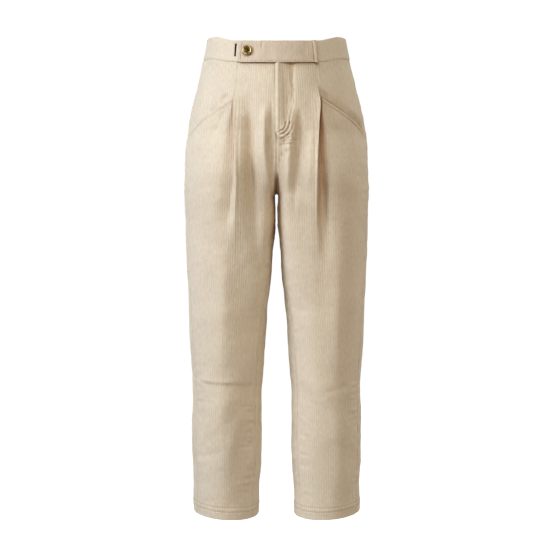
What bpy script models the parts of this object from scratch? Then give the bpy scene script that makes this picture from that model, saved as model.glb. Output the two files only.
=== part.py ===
"""Pleated corduroy trousers, open and hollow in the shape that wearing gives them.

Lengths are in millimetres until a mesh is made. +Z is up, the front faces -Y and the wearer's left is +X.
The origin is the centre of the waist ring, at half the height of the waistband. A level is a distance down
from the waistband's top edge, and an angle goes round a section from its front, over the side, to its back.
"""

from collections import namedtuple

import bpy
import numpy as np

MM = 0.001
LEFT, RIGHT = 1, -1
SIDE_NAMES = {LEFT: "left", RIGHT: "right"}
FRONT, BACK = "front", "back"

# Cloth
CLOTH = 1.4  # one layer of corduroy with its pile
SEAM_GAP = 0.3  # between the edges of two sewn pieces
HEM_HEIGHT = 28.0
HEM_CLOTH = 2.9  # the turned-up hem is two layers

# Lengths down the garment
WAISTBAND_HEIGHT = 41.5
MID_WAISTBAND = 20.5
MOUTH_TOP = 106.0  # where the pleat and the pocket mouth start
MOUTH_FALL = 78.0  # how much lower the mouth meets the side seam
FORK_TOP = 172.0  # the section starts to part into two legs
FORK_START, FORK_END = 1.6, 1.5  # how softly it starts and ends
CROTCH = 301.0
HEM = 924.0

# Waistband, tab and trims
BAND_OUT, BAND_IN = 1.0, 1.6
TAB_CLOTH = 2.2
TAB_LEFT_X, TAB_RIGHT_X = 71.0, 68.0
TAB_OVERHANG = 1.8
TAB_CORNER = 5.0
TAB_END_STEP = 0.02  # radians from the free end to the next column
TAB_FLARE, TAB_FLARE_LEVEL, TAB_FLARE_X, TAB_FLARE_RUN = 1.3, 27.0, 62.0, 14.0  # its low edge, off the root
BUTTON_X, BUTTON_LEVEL = 53.2, 19.5
BUTTON_RADIUS, BUTTON_HEIGHT = 9.5, 3.4
BAR_TOP_X, BAR_LOW_X, BAR_TOP, BAR_LOW, BAR_WIDTH, BAR_HEIGHT = 77.2, 75.9, 6.4, 30.4, 2.6, 1.1
LOOP_TOP_X, LOOP_LOW_X, LOOP_WIDTH, LOOP_CLOTH = 69.8, 70.3, 8.0, 1.7
LOOP_OVERHANG = 2.2

# Fly: the left front laps over the right one
LAP_WIDTH = 2.8
LAP_RISE = 1.9
LAP_INNER_X, LAP_OUTER_X = 7.0, 35.0
LAP_END, LAP_CLEAR, LAP_FLAT = 184.0, 191.0, 206.0

# Hip piece behind the pocket mouth
HIP_RECESS, HIP_RECESS_RUN = 2.5, 32.0
HIP_TUCK, HIP_TUCK_RUN = 4.5, 12.0
HIP_UNDERLAP = 18.0
HIP_SEWN_SHARE = 0.1  # next to the side seam it lies flush, and ends at the mouth
HIP_CLOTH = 1.3

# Half sections: the outer edge and half the gap between the legs, the depths of the front and the back, and
# how square the inner half is (2 is an ellipse)
Section = namedtuple("Section", "level outer gap front back square")
SECTIONS = (
    Section(0, 131.5, 0.15, 98, 98, 3.0),
    Section(42, 139.7, 0.15, 103, 106, 3.0),
    Section(80, 149.2, 0.15, 108, 117, 3.0),
    Section(120, 159.4, 0.15, 113, 128, 3.0),
    Section(160, 167.8, 0.15, 117, 138, 3.0),
    Section(200, 173.7, 0.15, 118, 143, 3.0),
    Section(240, 176.4, 0.15, 117, 142, 3.0),
    Section(CROTCH, 177.6, 0.15, 107, 122, 3.0),
    Section(308, 177.5, 1.7, 106, 120, 3.0),
    Section(325, 177.0, 0.5, 103, 116, 2.95),
    Section(356, 176.3, 2.8, 99, 109, 2.85),
    Section(403, 175.6, 6.8, 94, 101, 2.7),
    Section(450, 173.9, 9.8, 91, 95, 2.55),
    Section(512, 171.3, 16.7, 87, 87, 2.4),
    Section(560, 170.5, 20.6, 85, 82, 2.3),
    Section(607, 167.8, 23.5, 83, 77, 2.2),
    Section(654, 164.3, 26.5, 81, 73, 2.1),
    Section(685, 163.6, 29.4, 80, 72, 2.1),
    Section(732, 165.3, 29.4, 77, 74, 2.1),
    Section(779, 166.2, 29.4, 74, 75, 2.1),
    Section(826, 164.9, 30.4, 71, 75, 2.1),
    Section(873, 163.6, 34.3, 68, 74, 2.1),
    Section(HEM, 163.6, 35.3, 66, 73, 2.1),
)
Squarer = namedtuple("Squarer", "level more")  # how much squarer the inner front of a leg is
INNER_FRONT = (
    Squarer(172, 0.0),
    Squarer(240, 0.4),
    Squarer(CROTCH, 0.65),
    Squarer(325, 0.8),
    Squarer(356, 0.8),
    Squarer(403, 0.6),
    Squarer(480, 0.2),
    Squarer(560, 0.0),
)

# Where the seams run round a section, in degrees from its front
Seams = namedtuple("Seams", "level side inseam")
SEAMS = (
    Seams(0, 79, 90),
    Seams(240, 77, 90),
    Seams(CROTCH, 75, 90),
    Seams(400, 70, 76),
    Seams(520, 65, 62),
    Seams(620, 62, 57),
    Seams(HEM, 61, 56),
)

# The grain line of each face, as a distance from the centre plane
Grain = namedtuple("Grain", "level front back")
GRAIN = (
    Grain(0, 72, 70),
    Grain(WAISTBAND_HEIGHT, 73.3, 72),
    Grain(MOUTH_TOP, 78, 78),
    Grain(200, 78.8, 82),
    Grain(300, 80.8, 86),
    Grain(430, 84.5, 90),
    Grain(560, 91, 95),
    Grain(700, 96, 98),
    Grain(HEM, 98.5, 98.5),
)

# How far the waistband's top edge dips below its highest point, by angle round the waist
Dip = namedtuple("Dip", "angle drop")
WAIST_DIP = (Dip(-90, 3), Dip(-62, 0.5), Dip(-35, 8.5), Dip(0, 9.5), Dip(35, 8.5), Dip(62, 0.5), Dip(90, 3), Dip(180, 2))
DIP_ENDS = 240.0
HEM_TILT, HEM_FRONT_DIP, HEM_TILT_RUN = 3.7, 3.0, 150.0

# The pleat under each pocket mouth: a ridge that starts inset from the grain line, and a trough outside it
Pleat = namedtuple("Pleat", "level inset height width depth lean")
PLEATS = {
    LEFT: (
        Pleat(92, 0.0, 0.0, 5, 0.0, 0.0),
        Pleat(MOUTH_TOP, 0.0, 2.2, 4.5, 0.0, 1.0),
        Pleat(125, -0.5, 3.6, 5.5, 2.5, 2.5),
        Pleat(150, -1.5, 4.8, 6.5, 6.0, 3.5),
        Pleat(180, -3.0, 5.5, 7.5, 8.5, 4.0),
        Pleat(216, -4.5, 5.5, 8.5, 9.5, 4.0),
        Pleat(273, -6.5, 4.8, 10, 9.0, 3.5),
        Pleat(330, -10, 3.6, 13, 6.5, 2.0),
        Pleat(375, -13, 1.8, 18, 3.5, 0.8),
        Pleat(430, -16, 0.0, 24, 0.0, 0.0),
    ),
    RIGHT: (
        Pleat(92, 0.0, 0.0, 5, 0.0, 0.0),
        Pleat(MOUTH_TOP, -0.5, 2.2, 4.5, 0.0, 1.0),
        Pleat(125, -2.5, 3.4, 5.5, 2.0, 2.5),
        Pleat(150, -4.5, 4.6, 6.5, 5.0, 3.5),
        Pleat(180, -6.5, 5.5, 7.5, 7.5, 4.0),
        Pleat(235, -8.5, 5.8, 8.5, 9.0, 3.5),
        Pleat(292, -9.0, 5.0, 11, 8.0, 2.5),
        Pleat(330, -12, 3.5, 14, 6.0, 1.5),
        Pleat(365, -14, 1.5, 20, 3.0, 0.5),
        Pleat(415, -16, 0.0, 26, 0.0, 0.0),
    ),
}
PLEAT_INNER_RUN, PLEAT_OUTER_RUN, PLEAT_LEAN_RUN = 17.0, 22.0, 6.0

# Soft folds that run down the cloth, through three points. A negative height is a trough.
Fold = namedtuple("Fold", "side face top x_top middle x_middle low x_low inner outer height")
FOLDS = (
    Fold(LEFT, FRONT, 126, 45, 216, 48, 485, 28, 11, 15, -5.5),
    Fold(RIGHT, FRONT, 126, 50, 235, 47, 505, 24, 11, 15, -6.0),
    Fold(LEFT, FRONT, 140, 34, 216, 23, 330, 20, 8, 9, 3.2),
    Fold(RIGHT, FRONT, 122, 21, 200, 24, 290, 13, 7, 9, 3.4),
    Fold(LEFT, FRONT, 62, 20, 120, 20, 178, 17, 4, 4, -1.6),
    Fold(LEFT, FRONT, 116, 88, 165, 108, 228, 138, 7, 8, -2.6),
    Fold(RIGHT, FRONT, 124, 92, 165, 112, 222, 137, 7, 8, -1.8),
    Fold(LEFT, FRONT, 300, 128, 470, 122, 660, 112, 20, 22, 2.4),
    Fold(RIGHT, FRONT, 300, 104, 480, 97, 660, 93, 22, 24, 2.6),
    Fold(LEFT, FRONT, 690, 104, 800, 121, 912, 114, 15, 18, 2.4),
    Fold(RIGHT, FRONT, 700, 55, 795, 88, 900, 106, 14, 18, 2.6),
    Fold(LEFT, BACK, 312, 16, 385, 56, 480, 100, 10, 14, -4.5),
    Fold(RIGHT, BACK, 315, 14, 395, 52, 500, 94, 10, 14, -4.0),
    Fold(LEFT, BACK, 350, 12, 450, 42, 590, 62, 9, 13, -3.0),
    Fold(RIGHT, BACK, 345, 14, 440, 46, 570, 70, 9, 13, -3.4),
    Fold(LEFT, BACK, 330, 122, 470, 118, 630, 110, 18, 20, 2.6),
    Fold(RIGHT, BACK, 320, 118, 480, 116, 640, 108, 18, 20, 2.4),
    Fold(LEFT, BACK, 700, 78, 800, 92, 908, 100, 16, 20, 2.2),
    Fold(RIGHT, BACK, 705, 112, 800, 100, 908, 92, 16, 20, 2.4),
)
FOLD_GROWS, FOLD_FADES = 0.22, 0.5  # shares of a fold's length
FOLD_EDGE_RUN = 14.0  # a fold dies out this far from a seam

# Creases that run across the leg
Crease = namedtuple("Crease", "side face x_from level_from x_to level_to width height")
CREASES = (
    Crease(RIGHT, FRONT, 38, 657, 152, 638, 5, 1.4),
    Crease(RIGHT, FRONT, 38, 668, 150, 650, 7, -3.0),
    Crease(LEFT, FRONT, 88, 676, 146, 662, 8, -2.2),
    Crease(LEFT, FRONT, 78, 688, 136, 676, 6, 1.0),
    Crease(LEFT, BACK, 44, 636, 150, 648, 9, -4.0),
    Crease(LEFT, BACK, 48, 672, 148, 664, 8, -3.4),
    Crease(RIGHT, BACK, 44, 644, 150, 634, 9, -4.0),
    Crease(RIGHT, BACK, 48, 668, 148, 676, 8, -3.0),
)
CREASE_END_RUN = 16.0

# Rows and columns of the meshes
LEG_ROWS = (
    CROTCH, 308, 316, 328, 345, 365, 390, 420, 455, 495, 540, 590, 632, 650, 661, 670, 681, 694,
    730, 780, 830, 870, 893, 897, HEM,
)
FRONT_ROWS = (
    41.65, 62, 82, 95, MOUTH_TOP, 117, 130, 144, 160, 174, LAP_END, LAP_CLEAR, LAP_FLAT, 224, 242, 260, 276,
    290,
) + LEG_ROWS
BACK_ROWS = (41.65, 70, 105, 140, 175, 205, 235, 260, 280, 293) + LEG_ROWS
INNER_COLUMNS = 9  # from the centre front or the inseam to the pleat
INNER_CROWDING = 1.3
PLEAT_COLUMNS = (0.0, 2.4, 5.2, 8.6, 14.0, 24.0)  # cloth distances outside the ridge
OUTER_COLUMNS = 5
BACK_COLUMNS = 14

CORDUROY = (0.70, 0.59, 0.46)
BRASS = (0.72, 0.53, 0.25)
BLACK_THREAD = (0.012, 0.012, 0.014)


def smooth(x, xs, ys):
    """A curve through the points (xs, ys) that never swings past them."""
    xs, ys = np.asarray(xs, float), np.asarray(ys, float)
    steps = np.diff(xs)
    slopes = np.diff(ys) / steps
    tangents = np.concatenate([slopes[:1], np.zeros(len(slopes) - 1), slopes[-1:]])
    same = slopes[:-1] * slopes[1:] > 0
    both = slopes[:-1] + slopes[1:]
    tangents[1:-1][same] = 2 * (slopes[:-1] * slopes[1:])[same] / both[same]
    x = np.clip(x, xs[0], xs[-1])
    index = np.clip(np.searchsorted(xs, x, side="right") - 1, 0, len(steps) - 1)
    t = (x - xs[index]) / steps[index]
    return (
        (1 + 2 * t) * (1 - t) ** 2 * ys[index]
        + t * (1 - t) ** 2 * steps[index] * tangents[index]
        + t**2 * (3 - 2 * t) * ys[index + 1]
        + t**2 * (t - 1) * steps[index] * tangents[index + 1]
    )


def column(table, name, x):
    """The named column of a table as a smooth curve over the table's first column."""
    return smooth(x, [row[0] for row in table], [getattr(row, name) for row in table])


def ease(t):
    t = np.clip(t, 0, 1)
    return t * t * (3 - 2 * t)


def fork(level):
    """0 where the section is one ring, 1 from the crotch down, where it is two."""
    above = np.clip((CROTCH - level) / (CROTCH - FORK_TOP), 0, 1)
    return (1 - above**FORK_END) ** FORK_START


def ring(level):
    """Centre and half width of the left half of a section."""
    gap = column(SECTIONS, "gap", level)
    half = (column(SECTIONS, "outer", level) - gap) / (1 + fork(level))
    return gap + fork(level) * half, half


def outline(level, angle):
    """Point and outward direction on the plain section, without folds, at an angle in radians."""
    centre, half = ring(level)
    across, ahead = np.sin(angle), np.sign(np.cos(angle))
    depth = np.where(ahead > 0, column(SECTIONS, "front", level), column(SECTIONS, "back", level))
    inner = column(SECTIONS, "square", level) + np.where(ahead > 0, column(INNER_FRONT, "more", level), 0.0)
    square = np.where(across < 0, inner, 2.0)
    along = np.clip(1 - np.abs(across) ** square, 1e-9, 1) ** (1 / square)
    out_x = np.sign(across) * np.abs(across) ** (square - 1) / half
    out_y = -ahead * along ** (square - 1) / depth
    length = np.hypot(out_x, out_y)
    return centre + half * across, -ahead * depth * along, out_x / length, out_y / length


def height(level, angle):
    """Height of a level at an angle, with the waist's dip and the hem's tilt."""
    dip = column(WAIST_DIP, "drop", np.degrees(angle)) * np.clip(1 - level / DIP_ENDS, 0, None)
    share = ease((level - HEM + HEM_TILT_RUN) / HEM_TILT_RUN)
    tilt = share * (HEM_FRONT_DIP * np.cos(angle) - HEM_TILT * np.sin(angle))
    return MID_WAISTBAND - level - dip - tilt


def between(table, rows, columns, row, col):
    """A table's value between its evenly spaced rows and columns."""
    r = np.clip((row - rows[0]) / (rows[1] - rows[0]), 0, len(rows) - 1.001)
    c = np.clip((col - columns[0]) / (columns[1] - columns[0]), 0, len(columns) - 1.001)
    i, j = r.astype(int), c.astype(int)
    r, c = r - i, c - j
    top = table[i, j] * (1 - c) + table[i, j + 1] * c
    low = table[i + 1, j] * (1 - c) + table[i + 1, j + 1] * c
    return top * (1 - r) + low * r


class Face:
    """Measures along the cloth of one face, round the section, from the face's grain line."""

    LEVELS = np.arange(-20.0, HEM + 20, 4.0)
    ANGLES = np.radians(np.arange(-112.0, 326.0, 2.0))
    DISTANCES = np.arange(-420.0, 422.0, 3.0)

    def __init__(self, name):
        self.name = name
        level = np.repeat(self.LEVELS[:, None], len(self.ANGLES), axis=1)
        x, y, _, _ = outline(level, self.ANGLES[None, :])
        arcs = np.cumsum(np.hypot(np.diff(x, axis=1, prepend=x[:, :1]), np.diff(y, axis=1, prepend=y[:, :1])), axis=1)
        centre, half = ring(self.LEVELS)
        grain = np.arcsin(np.clip((column(GRAIN, name, self.LEVELS) - centre) / half, -1, 1))
        if name == BACK:
            grain = np.pi - grain
        zero = [np.interp(angle, self.ANGLES, arc) for angle, arc in zip(grain, arcs)]
        self.arcs = arcs - np.array(zero)[:, None]
        self.angles = np.array([np.interp(self.DISTANCES, arc, self.ANGLES) for arc in self.arcs])

    def angle(self, level, distance):
        return between(self.angles, self.LEVELS, self.DISTANCES, level, distance)

    def distance(self, level, angle):
        return between(self.arcs, self.LEVELS, self.ANGLES, level, angle)

    def side_edge(self, level):
        return self.distance(level, np.radians(column(SEAMS, "side", level)))

    def centre_edge(self, level):
        """Distance of the centre seam above the crotch and of the inseam below it."""
        above = np.arcsin(np.clip(fork(level), 0, 1))
        turn = np.where(level < CROTCH, above, np.radians(column(SEAMS, "inseam", level)))
        if self.name == FRONT:
            return self.distance(level, -turn)
        return self.distance(level, np.where(level < CROTCH, np.pi + turn, 2 * np.pi - turn))


FACES = {name: Face(name) for name in (FRONT, BACK)}


def bump(distance, inner, outer):
    return np.exp(-((distance / np.where(distance < 0, inner, outer)) ** 2))


def folds(side, face, level, x):
    """How far the soft folds and creases push the cloth outwards."""
    push = np.zeros(np.broadcast(level, x).shape)
    for fold in FOLDS:
        if (fold.side, fold.face) != (side, face):
            continue
        path = smooth(level, (fold.top, fold.middle, fold.low), (fold.x_top, fold.x_middle, fold.x_low))
        share = (level - fold.top) / (fold.low - fold.top)
        strength = ease(share / FOLD_GROWS) * ease((1 - share) / FOLD_FADES)
        push = push + fold.height * strength * bump(x - path, fold.inner, fold.outer)
    for crease in CREASES:
        if (crease.side, crease.face) != (side, face):
            continue
        share = (x - crease.x_from) / (crease.x_to - crease.x_from)
        path = crease.level_from + (crease.level_to - crease.level_from) * share
        ends = ease((x - crease.x_from) / CREASE_END_RUN) * ease((crease.x_to - x) / CREASE_END_RUN)
        push = push + crease.height * ends * bump(level - path, crease.width, crease.width)
    return push


def pleat(side, level, distance):
    """The pleat's sideways lean and its push outwards, by cloth distance from the grain line."""
    at = {name: column(PLEATS[side], name, level) for name in Pleat._fields[1:]}
    off = distance - at["inset"]
    drop = at["height"] + at["depth"]
    inside = at["height"] * np.exp(-((off / PLEAT_INNER_RUN) ** 2))
    wall = at["height"] - drop * (1 - np.cos(np.pi * np.clip(off / at["width"], 0, 1))) / 2
    outside = -at["depth"] * np.exp(-(((off - at["width"]) / PLEAT_OUTER_RUN) ** 2))
    push = np.where(off < 0, inside, np.where(off < at["width"], wall, outside))
    return at["lean"] * np.exp(-((off / PLEAT_LEAN_RUN) ** 2)), push


def fly_rise(level, x):
    """How far the left front stands out where it laps over the right one."""
    across = ease((LAP_OUTER_X - x) / (LAP_OUTER_X - LAP_INNER_X))
    return LAP_RISE * across * ease((LAP_FLAT - level) / (LAP_FLAT - LAP_CLEAR))


def cloth_point(side, face, level, distance, push=0.0, shaped=True):
    """A point on the cloth's outer face. Shaped cloth has its folds, and the front its pleat and fly."""
    piece = FACES[face]
    if shaped and face == FRONT:
        lean, pleated = pleat(side, level, distance)
        distance = distance + lean
        push = push + pleated
    angle = piece.angle(level, distance)
    x, y, out_x, out_y = outline(level, angle)
    if shaped:
        edges = np.abs(distance - piece.side_edge(level)), np.abs(distance - piece.centre_edge(level))
        push = push + folds(side, face, level, x) * ease(np.minimum(*edges) / FOLD_EDGE_RUN)
        if (side, face) == (LEFT, FRONT):
            push = push + fly_rise(level, x)
    return np.stack([side * (x + out_x * push), y + out_y * push, height(level, angle)], axis=-1)


def outward(point, level, across, side):
    """Outward normals of a surface, from its slopes."""
    step = 0.4
    down = point(level + step, across) - point(level - step, across)
    round_ = point(level, across + step) - point(level, across - step)
    normal = side * np.cross(down, round_)
    return normal / np.linalg.norm(normal, axis=-1, keepdims=True)


def sewn_mesh(name, outer, inner, side, cells=None):
    """A closed wall between two grids of points. Cells marked False are left open."""
    rows, cols = outer.shape[:2]
    cells = np.ones((rows - 1, cols - 1), bool) if cells is None else cells
    count = rows * cols
    number = np.arange(count).reshape(rows, cols)
    faces, edges = [], {}
    for i, j in zip(*np.nonzero(cells)):
        quad = [number[i, j], number[i + 1, j], number[i + 1, j + 1], number[i, j + 1]]
        quad = quad if side == LEFT else quad[::-1]
        faces += [quad, [corner + count for corner in quad[::-1]]]
        for start, end in zip(quad, quad[1:] + quad[:1]):
            if (end, start) in edges:
                del edges[end, start]
            else:
                edges[start, end] = True
    faces += [[end, start, start + count, end + count] for start, end in edges]
    points = np.concatenate([outer.reshape(-1, 3), inner.reshape(-1, 3)]) * MM
    used = sorted({int(corner) for face in faces for corner in face})
    place = {corner: index for index, corner in enumerate(used)}
    mesh = bpy.data.meshes.new(name)
    mesh.from_pydata(points[used].tolist(), [], [[place[int(corner)] for corner in face] for face in faces])
    mesh.validate()
    return mesh


def add_object(name, mesh, material):
    thing = bpy.data.objects.new(name, mesh)
    bpy.context.scene.collection.objects.link(thing)
    mesh.materials.append(material)
    mesh.shade_smooth()
    mesh.set_sharp_from_angle(angle=np.radians(50))
    return thing


def make_material(name, colour, roughness, metallic=0.0, sheen=0.0):
    material = bpy.data.materials.new(name)
    material.use_nodes = True
    shader = material.node_tree.nodes["Principled BSDF"]
    shader.inputs["Base Color"].default_value = (*colour, 1)
    shader.inputs["Roughness"].default_value = roughness
    shader.inputs["Metallic"].default_value = metallic
    shader.inputs["Sheen Weight"].default_value = sheen
    return material


def wall(level):
    """Thickness of the cloth at a level: the hem is turned up."""
    return np.where(level > HEM - HEM_HEIGHT, HEM_CLOTH, CLOTH)


def mouth_level(row, share):
    """Rows outside the pleat slant with the pocket mouth, and less so the lower they are."""
    slant = MOUTH_FALL * (1 - ease((row - MOUTH_TOP) / (CROTCH - MOUTH_TOP)))
    return row + slant * share


def front_grid(side):
    """Levels and cloth distances of the front panel's points, and the cells that are cloth."""
    face = FACES[FRONT]
    rows = np.array(FRONT_ROWS, float)
    inset = column(PLEATS[side], "inset", rows)
    lap = np.where(rows < LAP_CLEAR, LAP_WIDTH + SEAM_GAP / 2, 0.0) if side == LEFT else 0 * rows
    start = face.centre_edge(rows) - lap + np.where(rows >= CROTCH, SEAM_GAP / 2, 0)
    levels, distances = [], []
    for j in range(INNER_COLUMNS):
        share = (1 - j / INNER_COLUMNS) ** INNER_CROWDING
        levels.append(rows)
        distances.append(inset + (start - inset) * share)
    reach = PLEAT_COLUMNS[-1]
    for j, offset in enumerate(PLEAT_COLUMNS + tuple(range(1, OUTER_COLUMNS + 1))):
        past = j - len(PLEAT_COLUMNS) + 1
        share = offset / 110.0 if past <= 0 else (1 - reach / 110.0) * past / OUTER_COLUMNS + reach / 110.0
        level = mouth_level(rows, share)
        level = np.where(rows < MOUTH_TOP, rows, level)
        side_edge = face.side_edge(level) - SEAM_GAP / 2
        from_ridge = inset + offset if past <= 0 else None
        if past > 0:
            from_ridge = inset + reach + (side_edge - inset - reach) * past / OUTER_COLUMNS
        if j == 0:
            from_ridge = from_ridge - SEAM_GAP / 2
        levels.append(level)
        distances.append(from_ridge)
    cells = np.ones((len(rows) - 1, len(levels) - 1), bool)
    cells[: FRONT_ROWS.index(MOUTH_TOP), INNER_COLUMNS:] = False
    return np.stack(levels, axis=1), np.stack(distances, axis=1), cells


def back_grid():
    """Levels and cloth distances of the back panel's points, from the side seam round."""
    face = FACES[BACK]
    rows = np.array(BACK_ROWS, float)
    start = face.side_edge(rows) + SEAM_GAP / 2
    end = face.centre_edge(rows) - np.where(rows >= CROTCH, SEAM_GAP / 2, 0)
    shares = np.linspace(0, 1, BACK_COLUMNS + 1)
    distances = start[:, None] + (end - start)[:, None] * shares
    return np.repeat(rows[:, None], BACK_COLUMNS + 1, axis=1), distances


def make_panel(side, face, material):
    """A front or back panel, from the waist seam to the hem."""
    if face == FRONT:
        level, distance, cells = front_grid(side)
    else:
        level, distance = back_grid()
        cells = None

    def point(levels, distances):
        return cloth_point(side, face, levels, distances)

    outer = point(level, distance)
    inner = outer - wall(level)[..., None] * outward(point, level, distance, side)
    name = f"{face}_{SIDE_NAMES[side]}"
    return add_object(name, sewn_mesh(name, outer, inner, side, cells), material)


def make_hip(side, material):
    """The hip piece: sewn in above the pocket mouth, and lying behind the mouth's edge."""
    face = FACES[FRONT]
    shares = np.array((0, 0.08, 0.18, 0.3, 0.42, 0.54, 0.66, 0.76, 0.84, 0.9, 0.95, 1.0))[None, :]
    rows = np.array((0, 0.22, 0.42, 0.58, 0.70, 0.80, 0.90, 1.0))[:, None]
    mouth = MOUTH_TOP + MOUTH_FALL * shares
    top = WAISTBAND_HEIGHT + SEAM_GAP / 2
    sewn = ease((1 - HIP_SEWN_SHARE - shares) / HIP_SEWN_SHARE)
    low = mouth - 1.5 * SEAM_GAP + (HIP_UNDERLAP + 1.5 * SEAM_GAP) * ease((shares - 0.06) / 0.35) * sewn
    level = top + (low - top) * rows
    start = SEAM_GAP / 2
    distance = start + (face.side_edge(level) - SEAM_GAP / 2 - start) * shares

    def point(levels, distances):
        recess = HIP_RECESS * ease((levels - mouth + HIP_RECESS_RUN) / HIP_RECESS_RUN)
        recess = recess + HIP_TUCK * ease((levels - mouth) / HIP_TUCK_RUN)
        recess = recess * ease((1 - shares) / HIP_SEWN_SHARE)
        return cloth_point(side, FRONT, levels, distances, push=-recess, shaped=False)

    outer = point(level, distance)
    inner = outer - HIP_CLOTH * outward(point, level, distance, side)
    name = f"hip_{SIDE_NAMES[side]}"
    return add_object(name, sewn_mesh(name, outer, inner, side), material)


BandRow = namedtuple("BandRow", "level out inside")
BAND_ROWS = (
    BandRow(0.0, 0.1, 0.7),
    BandRow(1.5, BAND_OUT, BAND_IN),
    BandRow(20.0, BAND_OUT, BAND_IN),
    BandRow(WAISTBAND_HEIGHT - 2, BAND_OUT, BAND_IN),
    BandRow(WAISTBAND_HEIGHT - SEAM_GAP / 2, 0.4, BAND_IN),
)
BAND_STEP = 6  # degrees


def band_point(side, level, angle, push):
    """A point off the waistband's middle surface. A negative angle goes past the centre front."""
    x, y, out_x, out_y = outline(level, np.abs(angle))
    x, out_x = np.where(angle < 0, -x, x), np.where(angle < 0, -out_x, out_x)
    return np.stack([side * (x + out_x * push), y + out_y * push, height(level, angle)], axis=-1)


def make_waistband(side, material):
    """Half of the waistband, from the centre front round to the centre back."""
    angle = np.radians(np.arange(0, 180 + BAND_STEP, BAND_STEP))[None, :]
    level = np.array([row.level for row in BAND_ROWS])[:, None]
    out = np.array([row.out for row in BAND_ROWS])[:, None]
    inside = np.array([row.inside for row in BAND_ROWS])[:, None]
    level = level + 0 * angle
    angle = angle + 0 * level
    name = f"waistband_{SIDE_NAMES[side]}"
    outer, inner = band_point(side, level, angle, out), band_point(side, level, angle, -inside)
    return add_object(name, sewn_mesh(name, outer, inner, side), material)


def band_angle(x, level):
    """Angle round the waist at a distance x from the centre plane."""
    centre, half = ring(level)
    return np.sign(x) * np.arcsin((np.abs(x) - centre) / half)


def make_tab(material):
    """The long tab over the front of the waistband. Its free end has a cut corner."""
    low = WAISTBAND_HEIGHT + TAB_OVERHANG
    levels = np.array((0.4, 1.8, 14.0, 28.0, low - TAB_CORNER, low - 1.6, low))
    ends = np.array([TAB_RIGHT_X] * 5 + [TAB_RIGHT_X - 0.35 * TAB_CORNER, TAB_RIGHT_X - TAB_CORNER])
    steps = np.radians(np.arange(-5, 6) * BAND_STEP)[None, :]
    level = np.repeat(levels[:, None], steps.size + 2, axis=1)
    free, root = band_angle(-ends, levels)[:, None], band_angle(TAB_LEFT_X, levels)[:, None]
    angle = np.concatenate([free, np.maximum(steps, free + TAB_END_STEP), root], axis=1)
    soft = np.array([0.9, 0, 0, 0, 0, 0, 0.6])[:, None] + 0 * level
    soft[:, 0] = 0.6
    x = band_point(LEFT, level, angle, 0)[..., 0]
    flare = TAB_FLARE * ease((TAB_FLARE_X - x) / TAB_FLARE_RUN) * ease((level - TAB_FLARE_LEVEL) / TAB_FLARE_RUN)
    lift = BAND_OUT + SEAM_GAP + flare
    outer = band_point(LEFT, level, angle, lift + TAB_CLOTH - soft)
    inner = band_point(LEFT, level, angle, lift)
    return add_object("waistband_tab", sewn_mesh("waistband_tab", outer, inner, LEFT), material)


def make_strip(name, path, half_widths, lifts, thickness, material, side):
    """A flat strip up the waistband. The path gives (x, level) rows, and the lifts its underside."""
    xs, levels = np.array(path, float).T
    half_widths, lifts = np.array(half_widths, float), np.array(lifts, float)
    across = np.array((-1.0, -0.6, 0.6, 1.0))
    level = np.repeat(levels[:, None], len(across), axis=1)
    angle = band_angle(xs[:, None] + across * half_widths[:, None], level)
    lift = np.repeat(lifts[:, None], len(across), axis=1)
    crown = np.array((0.72, 1.0, 1.0, 0.72))
    outer = band_point(side, level, angle, lift + thickness * crown)
    inner = band_point(side, level, angle, lift)
    return add_object(name, sewn_mesh(name, outer, inner, side), material)


def make_belt_loop(material):
    """The belt loop at the root of the tab, from over the top edge to just below the waist seam."""
    low = WAISTBAND_HEIGHT + LOOP_OVERHANG
    levels = np.array((-0.6, 3.0, 12.0, 30.0, low - 4, low))
    xs = LOOP_TOP_X + (LOOP_LOW_X - LOOP_TOP_X) * levels / low
    lift = BAND_OUT + TAB_CLOTH + 2 * SEAM_GAP
    lifts = (lift, lift, lift + 1.2, lift + 1.2, lift, lift)
    return make_strip(
        "belt_loop", list(zip(xs, levels)), [LOOP_WIDTH / 2] * 6, lifts, LOOP_CLOTH, material, LEFT
    )


def make_bar_tack(material):
    """The dense black bar of stitches beside the tab's free end."""
    levels = (BAR_TOP, BAR_TOP + 2, BAR_TOP + 4, BAR_LOW - 4, BAR_LOW - 2, BAR_LOW)
    widths = [share * BAR_WIDTH / 2 for share in (0.8, 1.25, 1.0, 1.0, 1.25, 0.8)]
    lean = (BAR_LOW_X - BAR_TOP_X) / (BAR_LOW - BAR_TOP)
    path = [(BAR_TOP_X + lean * (level - BAR_TOP), level) for level in levels]
    lifts = [BAND_OUT + SEAM_GAP] * len(path)
    return make_strip("bar_tack", path, widths, lifts, BAR_HEIGHT, material, RIGHT)


ButtonRing = namedtuple("ButtonRing", "radius height")
BUTTON_PROFILE = (
    ButtonRing(0.86, 0.0),
    ButtonRing(0.97, 0.22),
    ButtonRing(1.0, 0.55),
    ButtonRing(0.95, 0.85),
    ButtonRing(0.86, 1.0),
    ButtonRing(0.74, 0.92),
    ButtonRing(0.66, 0.55),
    ButtonRing(0.40, 0.50),
)
BUTTON_SIDES = 32
BAND_RADIUS = 130.0  # roughly, to step round the waist in millimetres


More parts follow.
